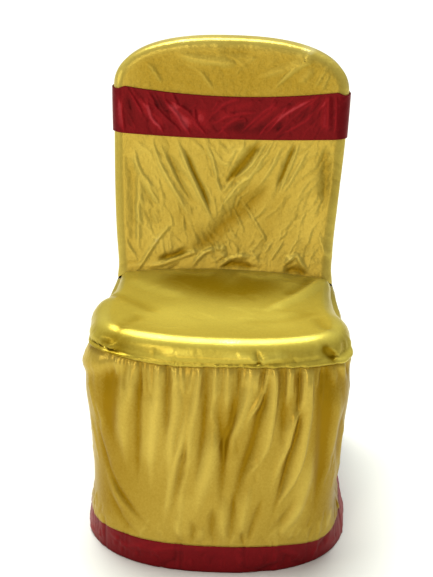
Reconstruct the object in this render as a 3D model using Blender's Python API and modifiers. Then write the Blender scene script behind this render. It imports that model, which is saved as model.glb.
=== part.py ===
# Fitted satin cover with a sash, for an armless stacking chair.
# Metres, +Z up, the seat's front towards -Y. Heights are given above the floor that the chair
# stands on. The whole cover is then lowered so that its mount, the underside of the back
# pocket's top, is at the world origin.

import math
from collections import namedtuple

import bmesh
import bpy
import numpy as np
from mathutils import Vector

# ---- driving dimensions ----
CLOTH = 0.0015          # thickness of the satin with its turned seams
GAP = 0.0004            # between two pieces along a seam
SEAM_GAP = 0.0018       # under the apron, whose lower edge turns in over the gathers
TOP = 0.840             # height of the back pocket's top, under the cloth
SHOULDER = 0.743        # the round top of the back starts here
TOP_POWER = 2.4         # roundness of that top: 2 is an ellipse
BACK_ROLL = 0.013       # radius of the pocket's front edge
BACK_BOW = 0.010        # the back's sides come forward by this
CREASE = 0.402          # height where the back meets the seat, at the middle
CREASE_DROP = 0.010     # and how far lower it is at the sides
SEAM = 0.375            # height of the gathered seam
SEAM_RISE = 0.010       # and how far higher it is at the front corners
APRON_REAR = 0.1425     # the sides of the seat cloth end here, beside the back's foot
SEAT_ROLL = 0.016       # radius of the seat's front and side edges
SEAT_FRONT = 0.412      # height of the front edge at its middle
SEAT_CORNER = 0.428     # and at its corners
SEAT_DISH = 0.006       # the seat is lower between its rear and its front
APRON_BULGE = 0.004     # the apron stands out above the gathered seam
APRON_BULGE_HEIGHT = 0.014  # and does so at this height above it
POUCH = 0.005           # the slack cloth at the two front corners stands out more
CORNER_X = 0.195        # the middles of those corners
CORNER_FORWARD = 0.215
CORNER_SPREAD = 0.055
FOLD_AT_SEAM = 0.35     # share of a skirt fold's depth that it has at the seam
FOLD_OPENING = 2.2      # how soon it reaches its full depth below the seam
FOLD_LOST_AT_HEM = 0.55  # share that the stiffer border takes out of it
BORDER = 0.050          # height of the contrasting hem border
SASH_TOP = 0.752        # the sash's upper edge, at the sides
SASH_FOOT = 0.661
SASH_TOP_SAG = 0.019    # the edges droop by this at the middle of the front
SASH_FOOT_SAG = 0.009
SASH_CLEAR = 0.0045     # the sash stands off the inner face of the cloth below it
SASH_HELD_Y = 0.235     # it is held from here to the rear, and droops before here
FRONT_SIDE_FOOT = 0.2115  # half width where the back's sides meet the gathered seam
APRON_REAR_TO_SEAM = 0.1285  # from the apron's rear end to the rear seam, along the skirt
MOUNT_Y = 0.245         # the mount, at the middle of the pocket's top
SATIN_ROUGHNESS = 0.4
SATIN_METALLIC = 0.3

GOLD = (0.62, 0.45, 0.07, 1.0)
MAROON = (0.28, 0.012, 0.025, 1.0)

# The back pocket. half_width, askew and front belong to the front edge, the other two to the
# rear panel, which hangs plumb from the top and goes on down to the border. askew is how far
# the front is pulled to the right.
Back = namedtuple("Back", "height half_width askew front rear_half_width rear")
BACK = [
    Back(0.000, 0.2080, 0.000, 0.147, 0.2345, 0.286),
    Back(0.050, 0.2080, 0.000, 0.147, 0.2310, 0.284),
    Back(0.200, 0.2080, 0.000, 0.147, 0.2190, 0.278),
    Back(0.330, 0.2080, 0.000, 0.147, 0.2095, 0.273),
    Back(0.400, 0.2085, -0.001, 0.147, 0.2085, 0.271),
    Back(0.460, 0.2125, -0.003, 0.163, 0.2105, 0.270),
    Back(0.560, 0.2190, -0.002, 0.183, 0.2160, 0.268),
    Back(0.660, 0.2235, 0.000, 0.200, 0.2210, 0.266),
    Back(0.745, 0.2260, 0.000, 0.212, 0.2230, 0.265),
    Back(0.846, 0.2260, 0.000, 0.224, 0.2230, 0.264),
]

# Plans of the skirt and border: straight sides from the rear, then a round front. front is
# how far the front stands before the seat's centre, reach is the depth of the round part
# and power its roundness.
Plan = namedtuple("Plan", "height half_width front reach power")
PLANS = [
    Plan(0.000, 0.2345, 0.298, 0.195, 2.4),
    Plan(0.050, 0.2295, 0.295, 0.180, 2.5),
    Plan(0.110, 0.2235, 0.289, 0.165, 2.6),
    Plan(0.170, 0.2225, 0.281, 0.150, 2.6),
    Plan(0.240, 0.2260, 0.271, 0.130, 2.8),
    Plan(0.300, 0.2310, 0.263, 0.115, 3.0),
    Plan(0.340, 0.2285, 0.256, 0.110, 3.0),
    Plan(0.380, 0.2205, 0.248, 0.100, 3.0),
]

# The seat's edge in plan: its sides from front to rear, then the round front.
Side = namedtuple("Side", "y half_width")
SEAT_SIDES = [
    Side(-0.100, 0.2160),
    Side(0.000, 0.2070),
    Side(0.060, 0.2040),
    Side(0.146, 0.2030),
]
SEAT_EDGE = Plan(0.420, 0.2190, 0.249, 0.097, 3.0)

# Soft folds of the skirt. seam and foot are distances round the skirt from the middle of the
# front, to the right, at the gathered seam and at the floor. depth is outwards.
Fold = namedtuple("Fold", "seam foot depth width")
FOLDS = [
    Fold(-0.600, -0.620, 0.0050, 0.024),
    Fold(-0.510, -0.520, -0.0050, 0.024),
    Fold(-0.420, -0.440, 0.0060, 0.026),
    Fold(-0.320, -0.350, -0.0050, 0.024),
    Fold(-0.136, -0.165, 0.0060, 0.018),
    Fold(-0.118, -0.137, -0.0060, 0.014),
    Fold(-0.097, -0.118, 0.0060, 0.014),
    Fold(-0.072, -0.098, -0.0050, 0.014),
    Fold(-0.040, -0.070, 0.0060, 0.015),
    Fold(-0.012, -0.050, -0.0070, 0.015),
    Fold(0.015, -0.025, 0.0070, 0.016),
    Fold(0.045, 0.005, -0.0070, 0.015),
    Fold(0.080, 0.040, 0.0070, 0.016),
    Fold(0.112, 0.065, -0.0080, 0.017),
    Fold(0.150, 0.090, 0.0080, 0.017),
    Fold(0.185, 0.130, -0.0050, 0.018),
    Fold(0.230, 0.180, 0.0050, 0.022),
    Fold(0.330, 0.320, -0.0050, 0.024),
    Fold(0.420, 0.425, 0.0060, 0.026),
    Fold(0.520, 0.530, -0.0050, 0.024),
    Fold(0.610, 0.620, 0.0050, 0.024),
]

# Broad tension folds of the back's front. Each runs from (x0, height0) to (x1, height1), and
# depth is outwards.
Pull = namedtuple("Pull", "x0 height0 x1 height1 depth width")
PULLS = [
    Pull(-0.150, 0.660, -0.060, 0.500, -0.0030, 0.012),
    Pull(-0.095, 0.650, -0.030, 0.490, 0.0030, 0.014),
    Pull(-0.185, 0.420, -0.075, 0.510, 0.0030, 0.014),
    Pull(0.070, 0.640, -0.030, 0.540, -0.0035, 0.014),
    Pull(0.150, 0.640, 0.080, 0.520, 0.0030, 0.014),
    Pull(0.180, 0.600, 0.175, 0.440, -0.0035, 0.014),
    Pull(0.020, 0.545, 0.110, 0.440, 0.0030, 0.016),
    Pull(-0.130, 0.440, -0.020, 0.450, -0.0030, 0.014),
]


# ---- helpers ----
def clear_scene():
    for obj in list(bpy.data.objects):
        bpy.data.objects.remove(obj, do_unlink=True)


def read(table, key, column, at):
    """The value of a column where key equals at, on a smooth curve through the table's rows."""
    keys = np.array([getattr(row, key) for row in table])
    values = np.array([getattr(row, column) for row in table])
    slopes = np.gradient(values, keys)
    low = int(np.clip(np.searchsorted(keys, at) - 1, 0, len(keys) - 2))
    span = keys[low + 1] - keys[low]
    t = min(max((at - keys[low]) / span, 0.0), 1.0)
    from_low = (1 + 2 * t) * (1 - t) ** 2 * values[low] + t * (1 - t) ** 2 * span * slopes[low]
    from_high = t * t * (3 - 2 * t) * values[low + 1] - t * t * (1 - t) * span * slopes[low + 1]
    return float(from_low + from_high)


def bell(distance, width):
    return math.exp(-((distance / width) ** 2))


class Route:
    """A flat line through points, read by the distance along it as a share of its length."""

    def __init__(self, points):
        self.points = np.array(points)
        steps = np.linalg.norm(np.diff(self.points, axis=0), axis=1)
        self.lengths = np.concatenate([[0.0], np.cumsum(steps)])
        self.length = float(self.lengths[-1])

    def at(self, share):
        where = min(max(share, 0.0), 1.0) * self.length
        return np.array([np.interp(where, self.lengths, axis) for axis in self.points.T])

    def outward(self, share):
        """The unit normal on the left of the direction of travel."""
        step = self.at(share + 0.004) - self.at(share - 0.004)
        return np.array([-step[1], step[0]]) / np.linalg.norm(step)


def rounded_end(half_width, reach, power, steps=40):
    """A superellipse's half, from (-half_width, 0) over (0, reach) to (half_width, 0)."""
    points = []
    for k in range(2 * steps + 1):
        angle = math.pi * k / (2 * steps)
        x = -math.copysign(abs(math.cos(angle)) ** (2 / power), math.cos(angle)) * half_width
        points.append((x, math.sin(angle) ** (2 / power) * reach))
    return points


# ---- outlines ----
def back_outline(width_column, foot, foot_half_width=None):
    """Outline of the back in x and height: up the left side, over the top and down the right."""
    heights = np.linspace(foot, SHOULDER, 16, endpoint=False)
    side = [(read(BACK, "height", width_column, height), height) for height in heights]
    if foot_half_width is not None:
        side[0] = (foot_half_width, foot)
    half_width = read(BACK, "height", width_column, SHOULDER)
    over = [(x, SHOULDER + rise) for x, rise in rounded_end(half_width, TOP - SHOULDER, TOP_POWER)]
    points = [(-x, height) for x, height in side] + over + side[::-1]
    return Route([(x + read(BACK, "height", "askew", height), height) for x, height in points])


def skirt_plan(height):
    """Plan of the skirt in x and -y: from the rear left seam round the front to the right one."""
    half_width, front, reach, power = (
        read(PLANS, "height", column, height) for column in ("half_width", "front", "reach", "power")
    )
    rear = -read(BACK, "height", "rear", height) + GAP
    rear_half_width = read(BACK, "height", "rear_half_width", height)
    round_front = [(x, front - reach + rise) for x, rise in rounded_end(half_width, reach, power)]
    return Route([(-rear_half_width, rear)] + round_front + [(rear_half_width, rear)])


def seat_plan(rear):
    """Plan of the seat's edge in x and -y: from the crease's left end round the front."""
    side = [(row.half_width, -row.y) for row in SEAT_SIDES[:-1]] + [(SEAT_SIDES[-1].half_width, -rear)]
    start = SEAT_EDGE.front - SEAT_EDGE.reach
    over = [(x, start + rise)
            for x, rise in rounded_end(SEAT_EDGE.half_width, SEAT_EDGE.reach, SEAT_EDGE.power)]
    return Route([(-x, forward) for x, forward in side[::-1]] + over + side)


# ---- heights and depths ----
def pulls(x, height):
    """How far the back's tension folds stand out at a point of its front."""
    total = 0.0
    for pull in PULLS:
        run = np.array([pull.x1 - pull.x0, pull.height1 - pull.height0])
        offset = np.array([x - pull.x0, height - pull.height0])
        along = float(offset @ run) / float(run @ run)
        across = abs(float(offset[0] * run[1] - offset[1] * run[0])) / float(np.linalg.norm(run))
        ends = 1 / (1 + math.exp(-14 * along)) / (1 + math.exp(14 * (along - 1)))
        total += pull.depth * bell(across, pull.width) * ends
    return total


def back_front_y(x, height):
    half_width = read(BACK, "height", "half_width", height)
    bow = BACK_BOW * (x / half_width) ** 2
    return read(BACK, "height", "front", height) - bow - pulls(x, height)


def crease_height(x):
    return CREASE - CREASE_DROP * (x / SEAT_SIDES[-1].half_width) ** 2


def seat_rear(x):
    """Where the seat's cloth ends, just in front of the back's foot."""
    return back_front_y(x, CREASE) - CLOTH - 2 * GAP


def seat_height(x, forward):
    """The seat's own height: dished in the middle, with raised front corners."""
    rear = -seat_rear(x)
    t = min(max((forward - rear) / (SEAT_EDGE.front - rear), 0.0), 1.0)
    across = (x / SEAT_EDGE.half_width) ** 2
    low = crease_height(x)
    high = SEAT_FRONT + (SEAT_CORNER - SEAT_FRONT) * across
    return low + (high - low) * t - SEAT_DISH * math.sin(math.pi * t)


def corner(x, forward):
    """1 at the two front corners, and 0 away from them."""
    return bell(math.hypot(abs(x) - CORNER_X, forward - CORNER_FORWARD), CORNER_SPREAD)


def seam_height(x, forward):
    return SEAM + SEAM_RISE * corner(x, forward)


def fold_depth(distance, height):
    """How far the skirt's folds stand out at a distance round it from the front's middle."""
    drop = max(1 - height / SEAM, 0.0)
    opening = min(1.0, FOLD_AT_SEAM + FOLD_OPENING * drop)
    strength = opening * (1 - FOLD_LOST_AT_HEM * drop ** 3)
    total = 0.0
    for fold in FOLDS:
        middle = fold.seam + (fold.foot - fold.seam) * drop
        total += fold.depth * bell(distance - middle, fold.width)
    return strength * total


def skirt_point(share, height):
    plan = skirt_plan(height)
    ends = min(1.0, 14 * min(share, 1 - share))
    depth = fold_depth((share - 0.5) * plan.length, height) * ends
    return plan.at(share) + depth * plan.outward(share)


# ---- sheets ----
def patch(bottom, left, top, right, u, v):
    """The point (u, v) of the surface spanned by four edge lines, each read from 0 to 1."""
    rows = (1 - v) * bottom(u) + v * top(u)
    columns = (1 - u) * left(v) + u * right(v)
    low = (1 - u) * bottom(0.0) + u * bottom(1.0)
    high = (1 - u) * top(0.0) + u * top(1.0)
    return rows + columns - (1 - v) * low - v * high


def hooped_sheet(edge, foot, turn, across, up, surface):
    """A grid inside an edge line that is open at its foot.

    edge(share) is the line. The grid's sides follow it up to the shares turn and 1 - turn,
    and its last row follows it between them. foot(u) is the side that closes it, and
    surface(a, b) lifts a flat point into space.
    Each vertex of the rim keeps its share of the line, so that rings can be drawn out of it.
    """
    bm = bmesh.new()
    bmesh.ops.create_grid(bm, x_segments=across, y_segments=up, size=1.0)
    shares = bm.verts.layers.float.new("share")
    nearly = 1e-5

    def left(v):
        return edge(turn * v)

    def top(u):
        return edge(turn + (1 - 2 * turn) * u)

    def right(v):
        return edge(1 - turn * v)

    for vert in bm.verts:
        u, v = (vert.co.x + 1) / 2, (vert.co.y + 1) / 2
        vert[shares] = -1.0
        if u < nearly:
            vert[shares] = turn * v
        elif u > 1 - nearly:
            vert[shares] = 1 - turn * v
        elif v > 1 - nearly:
            vert[shares] = turn + (1 - 2 * turn) * u
        vert.co = surface(*patch(foot, left, top, right, u, v))
    rim = [line for line in bm.edges
           if line.is_boundary and all(vert[shares] >= 0 for vert in line.verts)]
    return bm, rim


def draw_ring(bm, rim, place):
    """Draws one more ring out of the rim's edges, and returns the edges of that ring."""
    shares = bm.verts.layers.float["share"]
    drawn = bmesh.ops.extrude_edge_only(bm, edges=rim)["geom"]
    verts = {item for item in drawn if isinstance(item, bmesh.types.BMVert)}
    for vert in verts:
        vert.co = place(vert[shares])
    return [item for item in drawn
            if isinstance(item, bmesh.types.BMEdge) and set(item.verts) <= verts]


def banded_sheet(columns, rows, place, closed=False):
    """A grid whose vertex at share u along and v down lies at place(u, v)."""
    bm = bmesh.new()
    bmesh.ops.create_grid(bm, x_segments=columns, y_segments=rows, size=1.0)
    for vert in bm.verts:
        vert.co = place((vert.co.x + 1) / 2, (1 - vert.co.y) / 2)
    if closed:
        bmesh.ops.remove_doubles(bm, verts=bm.verts, dist=1e-5)
    return bm


def make_cloth(name, bm, colour, inside, collection):
    """Turns an open sheet into a node of cloth, with its thickness on the side away from inside."""
    bmesh.ops.recalc_face_normals(bm, faces=bm.faces)
    facing = sum(face.normal.dot(face.calc_center_median() - inside) for face in bm.faces)
    if facing < 0:
        bmesh.ops.reverse_faces(bm, faces=bm.faces)
    mesh = bpy.data.meshes.new(name)
    bm.to_mesh(mesh)
    bm.free()
    mesh.shade_smooth()
    cloth = bpy.data.objects.new(name, mesh)
    collection.objects.link(cloth)
    thickness = cloth.modifiers.new("thickness", "SOLIDIFY")
    thickness.thickness = CLOTH
    thickness.offset = 1.0
    material = bpy.data.materials.new(name + "_satin")
    material.use_nodes = True
    shader = material.node_tree.nodes["Principled BSDF"]
    shader.inputs["Base Color"].default_value = colour
    shader.inputs["Roughness"].default_value = SATIN_ROUGHNESS
    shader.inputs["Metallic"].default_value = SATIN_METALLIC
    mesh.materials.append(material)
    return cloth


# ---- pieces ----
def back_front_panel():
    face = back_outline("half_width", CREASE)
    side_foot = SEAM + GAP
    wrapped = back_outline("half_width", side_foot, FRONT_SIDE_FOOT)
    rear = back_outline("rear_half_width", side_foot)

    def edge(share):
        return face.at(share) - BACK_ROLL * face.outward(share)

    def front(x, height):
        lowered = CREASE_DROP * (x / SEAT_SIDES[-1].half_width) ** 2 * bell(height - CREASE, 0.05)
        return x, back_front_y(x, height), height - lowered

    def half_rolled(share):
        middle = math.radians(45)
        x, height = edge(share) + BACK_ROLL * math.sin(middle) * face.outward(share)
        x, y, height = front(x, height)
        return x, y + BACK_ROLL * (1 - math.cos(middle)), height

    def rolled(share):
        x, height = wrapped.at(share)
        return x, back_front_y(x, max(height, CREASE)) + BACK_ROLL, height

    def rear_seam(share):
        x, height = rear.at(share)
        return x, read(BACK, "height", "rear", height) - GAP, height

    def foot(u):
        return (1 - u) * edge(0.0) + u * edge(1.0)

    bm, rim = hooped_sheet(edge, foot, 0.38, 20, 16, front)
    for place in (half_rolled, rolled, rear_seam):
        rim = draw_ring(bm, rim, place)
    return bm


def back_rear_panel():
    outline = back_outline("rear_half_width", BORDER + GAP)

    def edge(share):
        return outline.at(share) + CLOTH * outline.outward(share)

    def hung(x, height):
        return x, read(BACK, "height", "rear", height), height

    def foot(u):
        return (1 - u) * edge(0.0) + u * edge(1.0)

    bm, _ = hooped_sheet(edge, foot, 0.42, 12, 16, hung)
    return bm


def seat_panel():
    side = SEAT_SIDES[-1].half_width - SEAT_ROLL
    top = seat_plan(seat_rear(side))
    apron = seat_plan(APRON_REAR)
    seam = skirt_plan(SEAM)
    seam_start = APRON_REAR_TO_SEAM / seam.length

    def edge(share):
        return top.at(share) - SEAT_ROLL * top.outward(share)

    def lying(x, forward):
        return x, -forward, seat_height(x, forward)

    def rolled(plan, degrees):
        def place(share):
            angle = math.radians(degrees)
            outward = plan.outward(share)
            x, forward = plan.at(share) - SEAT_ROLL * (1 - math.sin(angle)) * outward
            inner_x, inner_forward = edge(share)
            height = seat_height(inner_x, inner_forward) - SEAT_ROLL * (1 - math.cos(angle))
            return x, -forward, height
        return place

    def along_seam(share):
        return seam_start + (1 - 2 * seam_start) * share

    def bulged(share):
        outward = seam.outward(along_seam(share))
        flat = seam.at(along_seam(share))
        stand = APRON_BULGE * min(1.0, 8 * min(share, 1 - share)) + POUCH * corner(*flat)
        x, forward = flat + stand * outward
        return x, -forward, seam_height(x, forward) + APRON_BULGE_HEIGHT

    def sewn(share):
        x, forward = seam.at(along_seam(share))
        return x, -forward, seam_height(x, forward) + SEAM_GAP

    def foot(u):
        x = side * (2 * u - 1)
        return np.array([x, -seat_rear(x)])

    bm, rim = hooped_sheet(edge, foot, 0.36, 18, 16, lying)
    for place in (rolled(top, 45), rolled(apron, 90), bulged, sewn):
        rim = draw_ring(bm, rim, place)
    return bm


def skirt():
    def hung(u, v):
        x, forward = skirt_plan(SEAM).at(u)
        top = seam_height(x, forward)
        height = top + (BORDER + GAP - top) * v
        x, forward = skirt_point(u, height)
        return x, -forward, height

    return banded_sheet(100, 8, hung)


def hem_border():
    """A closed band: the skirt's own plan, then straight across the rear."""
    front_share = 0.75

    def hung(u, v):
        height = BORDER * (1 - v)
        if u <= front_share:
            x, forward = skirt_point(u / front_share, height)
            return x, -forward, height
        across = 1 - 2 * (u - front_share) / (1 - front_share)
        half_width = read(BACK, "height", "rear_half_width", height)
        return half_width * across, read(BACK, "height", "rear", height) - GAP, height

    return banded_sheet(120, 1, hung, closed=True)


def sash():
    """A closed band round the back pocket, drooping at the front."""
    def section(height):
        """The band's plan at a height, from the middle of the rear round the left side."""
        half_width = read(BACK, "height", "half_width", height)
        rear_half_width = read(BACK, "height", "rear_half_width", height) + SASH_CLEAR
        rear = read(BACK, "height", "rear", height) + CLOTH + SASH_CLEAR
        flat = half_width - BACK_ROLL
        front = [(x, back_front_y(x, height) - SASH_CLEAR) for x in np.linspace(-flat, flat, 31)]
        turned = BACK_ROLL + SASH_CLEAR
        side_y = front[0][1] + turned
        turn = [(flat + turned * math.sin(angle), side_y - turned * math.cos(angle))
                for angle in np.radians((22, 45, 67, 90))]
        half_rear = [(0.0, rear), (0.5 * rear_half_width, rear), (rear_half_width, rear)]
        right = turn + half_rear[::-1]
        left = [(-x, y) for x, y in right[::-1]]
        return left + front + right

    def wound(u, v):
        nominal = SASH_TOP + (SASH_FOOT - SASH_TOP) * v
        plan = section(nominal)
        x, y = plan[round(u * (len(plan) - 1))]
        sag = SASH_TOP_SAG + (SASH_FOOT_SAG - SASH_TOP_SAG) * v
        front_weight = min(max((SASH_HELD_Y - y) / 0.02, 0.0), 1.0)
        height = nominal - sag * (1 - (x / BACK[-1].half_width) ** 2) * front_weight
        follow = back_front_y(x, height) - back_front_y(x, nominal)
        return x, y + follow * front_weight, height

    return banded_sheet(len(section(SASH_TOP)) - 1, 2, wound, closed=True)


def main():
    clear_scene()
    collection = bpy.data.collections.new("chair_cover_with_sash")
    bpy.context.scene.collection.children.link(collection)
    floor = bpy.data.objects.new("floor_under_the_chair", None)
    floor.location = (0.0, -MOUNT_Y, -TOP)
    collection.objects.link(floor)
    in_pocket = Vector((0.0, 0.235, 0.55))
    under_seat = Vector((0.0, 0.0, 0.15))
    pieces = [
        ("back_front_panel", back_front_panel(), GOLD, in_pocket),
        ("back_rear_panel", back_rear_panel(), GOLD, under_seat),
        ("seat_panel", seat_panel(), GOLD, under_seat),
        ("skirt", skirt(), GOLD, under_seat),
        ("hem_border", hem_border(), MAROON, under_seat),
        ("sash", sash(), MAROON, in_pocket),
    ]
    for name, bm, colour, inside in pieces:
        cloth = make_cloth(name, bm, colour, inside, collection)
        cloth.parent = floor


main()
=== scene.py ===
import math
from collections import namedtuple

import bmesh
import bpy
import numpy as np
from mathutils import Matrix, Vector


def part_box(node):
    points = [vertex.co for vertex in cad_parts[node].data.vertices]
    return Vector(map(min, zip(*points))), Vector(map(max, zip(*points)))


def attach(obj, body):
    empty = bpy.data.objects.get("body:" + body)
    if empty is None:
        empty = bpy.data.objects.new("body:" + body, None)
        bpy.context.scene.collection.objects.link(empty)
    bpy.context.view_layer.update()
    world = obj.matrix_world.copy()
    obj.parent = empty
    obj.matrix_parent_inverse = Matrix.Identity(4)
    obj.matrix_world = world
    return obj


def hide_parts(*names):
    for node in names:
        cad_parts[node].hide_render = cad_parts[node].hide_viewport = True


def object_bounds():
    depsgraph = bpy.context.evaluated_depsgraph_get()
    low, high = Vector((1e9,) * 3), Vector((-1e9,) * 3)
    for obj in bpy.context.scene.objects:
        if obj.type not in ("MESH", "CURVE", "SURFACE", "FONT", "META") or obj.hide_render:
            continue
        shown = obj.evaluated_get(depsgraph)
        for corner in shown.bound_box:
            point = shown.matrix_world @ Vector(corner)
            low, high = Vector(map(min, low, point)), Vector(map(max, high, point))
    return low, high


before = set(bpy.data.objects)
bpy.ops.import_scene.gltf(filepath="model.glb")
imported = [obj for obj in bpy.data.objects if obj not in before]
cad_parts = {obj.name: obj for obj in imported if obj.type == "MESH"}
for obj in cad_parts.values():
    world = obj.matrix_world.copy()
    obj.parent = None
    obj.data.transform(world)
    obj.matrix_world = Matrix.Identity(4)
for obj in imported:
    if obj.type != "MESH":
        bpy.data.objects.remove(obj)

# A fitted satin chair cover with a sash. Metres. Below, x runs to the right, forward runs from
# the middle of the seat towards the front, and height runs up from the floor under the hem.

cadLow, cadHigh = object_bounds()
floorZ = cadLow[2]
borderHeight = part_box("hem_border")[1][2] - floorZ
print("chair cover: the packed model is loaded")

cover = {
    "clothThickness": 0.0013,
    "seatBeforeMount": 0.245,    # the mount is behind the middle of the seat by this
    "backTop": 0.840,
    "shoulder": 0.743,           # the round top of the back starts here
    "topPower": 2.4,
    "backRoll": 0.018,           # radius of the back's front edge at its sides
    "backRollTop": 0.024,        # and over its top
    "backBow": 0.010,
    "crease": 0.402,             # where the back meets the seat
    "creaseDrop": 0.010,
    "creaseTuck": 0.007,         # the cloth goes on down into the crease by this
    "seam": 0.3700,              # the gathered seam
    "seamRiseLeft": 0.009,       # and how much higher it is at the two front corners
    "seamRiseRight": -0.001,
    "seamSag": 0.003,
    "seamTuck": 0.0013,          # the apron's edge turns in at the seam by this
    "seamFollows": 0.42,         # the share of a fold's depth that is left at the seam
    "apronRear": 0.144,
    "apronTuck": 0.008,
    "seatRoll": 0.032,           # radius of the seat's edge at its front and corners
    "seatRollRear": 0.016,       # and at the rear ends of its sides
    "seatFront": 0.412,
    "seatCorner": 0.428,
    "seatDish": 0.006,
    "apronBulge": 0.0025,
    "pouch": 0.004,
    "cornerX": 0.195,
    "cornerForward": 0.215,
    "cornerSpread": 0.055,
    "rearSeamToApron": 0.127,
}

backRow = namedtuple("backRow", "height halfWidth askew front rearHalfWidth rear")
backRows = [
    backRow(0.000, 0.2080, 0.000, 0.147, 0.2345, 0.286),
    backRow(0.050, 0.2080, 0.000, 0.147, 0.2310, 0.284),
    backRow(0.200, 0.2080, 0.000, 0.147, 0.2190, 0.278),
    backRow(0.330, 0.2080, 0.000, 0.147, 0.2095, 0.273),
    backRow(0.400, 0.2085, -0.001, 0.147, 0.2085, 0.271),
    backRow(0.460, 0.2125, -0.003, 0.163, 0.2105, 0.270),
    backRow(0.560, 0.2190, -0.002, 0.183, 0.2160, 0.268),
    backRow(0.660, 0.2235, 0.000, 0.200, 0.2210, 0.266),
    backRow(0.745, 0.2260, 0.000, 0.212, 0.2230, 0.265),
    backRow(0.846, 0.2260, 0.000, 0.224, 0.2230, 0.264),
]
planRow = namedtuple("planRow", "height halfWidth front reach power")
planRows = [
    planRow(0.000, 0.2345, 0.298, 0.195, 2.4),
    planRow(0.050, 0.2295, 0.295, 0.180, 2.5),
    planRow(0.110, 0.2235, 0.289, 0.165, 2.6),
    planRow(0.170, 0.2225, 0.281, 0.150, 2.6),
    planRow(0.240, 0.2260, 0.271, 0.130, 2.8),
    planRow(0.300, 0.2310, 0.263, 0.115, 3.0),
    planRow(0.340, 0.2285, 0.256, 0.110, 3.0),
    planRow(0.380, 0.2205, 0.248, 0.100, 3.0),
]
sideRow = namedtuple("sideRow", "y halfWidth")
seatSides = [sideRow(-0.100, 0.2160), sideRow(0.000, 0.2070), sideRow(0.060, 0.2040), sideRow(0.146, 0.2030)]
seatEdge = planRow(0.420, 0.2190, 0.249, 0.097, 3.0)

# A crease follows a path on its own piece of cloth. depth is outwards, so a trough has less
# than 0. lean makes the side on the left of the path the steeper one. crisp is 1 for a sharp
# edge, 0 for a soft roll and -1 for a fold with a flat top or bottom.
Crease = namedtuple("Crease", "path width depth lean crisp", defaults=(0.0, 0.0))
creaseShape = {
    "reach": 3.2,             # how far out it is worked out, in widths
    "endWidth": 0.4,          # its share of the width at its ends
    "sharpness": 1.7, "tip": 0.03, "tipLevel": 0.173,
    "levelWidth": 0.8,
}


def creaseRows(rows):
    # each row has the path, the width and the depth, then lean and crisp where they aren't 0;
    # in the rows of painted shading, how much paler (painted light) or deeper (painted shade, under 0) the
    # cloth is stands for the depth
    return [Crease(path, *rest) for path, *rest in rows]


def onCover(x, forward, height):
    return np.stack([x, -forward - cover["seatBeforeMount"], height + floorZ], axis=-1)


def readRows(rows, column, at):
    keys = np.array([row[0] for row in rows])
    values = np.array([getattr(row, column) for row in rows])
    slopes = np.gradient(values, keys)
    at = np.asarray(at, float)
    low = np.clip(np.searchsorted(keys, at) - 1, 0, len(keys) - 2)
    span = keys[low + 1] - keys[low]
    t = np.clip((at - keys[low]) / span, 0.0, 1.0)
    fromLow = (1 + 2 * t) * (1 - t) ** 2 * values[low] + t * (1 - t) ** 2 * span * slopes[low]
    fromHigh = t * t * (3 - 2 * t) * values[low + 1] - t * t * (1 - t) * span * slopes[low + 1]
    return fromLow + fromHigh


def bell(distance, width):
    return np.exp(-((distance / width) ** 2))


def ease(t):
    t = np.clip(t, 0.0, 1.0)
    return t * t * (3 - 2 * t)


class Route:    # a flat line through points, read by the share of its length
    nudge = 0.004

    def __init__(self, points):
        self.points = np.array(points, float)
        steps = np.linalg.norm(np.diff(self.points, axis=0), axis=1)
        self.lengths = np.concatenate([[0.0], np.cumsum(steps)])
        self.length = float(self.lengths[-1])

    def at(self, share):
        where = np.clip(share, 0.0, 1.0) * self.length
        return np.stack([np.interp(where, self.lengths, axis) for axis in self.points.T], axis=-1)

    def outward(self, share):
        step = self.at(share + self.nudge) - self.at(share - self.nudge)
        step /= np.maximum(np.linalg.norm(step, axis=-1, keepdims=True), 1e-9)
        return np.stack([-step[..., 1], step[..., 0]], axis=-1)


def straightFoot(edge):
    ends = edge(np.array([0.0, 1.0]))
    return lambda at: (1 - at)[:, None] * ends[0] + at[:, None] * ends[1]


def roundedEnd(halfWidth, reach, power, steps=120):
    angles = np.linspace(0.0, math.pi, 2 * steps + 1)
    x = -np.sign(np.cos(angles)) * np.abs(np.cos(angles)) ** (2 / power) * halfWidth
    return list(zip(x, np.abs(np.sin(angles)) ** (2 / power) * reach))


def smoothLine(path, steps=5):
    points = np.array(path, float)
    if len(points) == 2:
        return points
    ends = np.vstack([2 * points[0] - points[1], points, 2 * points[-1] - points[-2]])
    line = []
    for k in range(len(points) - 1):
        a, b, c, d = ends[k:k + 4]
        for t in np.linspace(0, 1, steps, endpoint=False):
            line.append(0.5 * (2 * b + (c - a) * t + (2 * a - 5 * b + 4 * c - d) * t ** 2
                               + (3 * b - a - 3 * c + d) * t ** 3))
    line.append(points[-1])
    return np.array(line)


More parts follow.
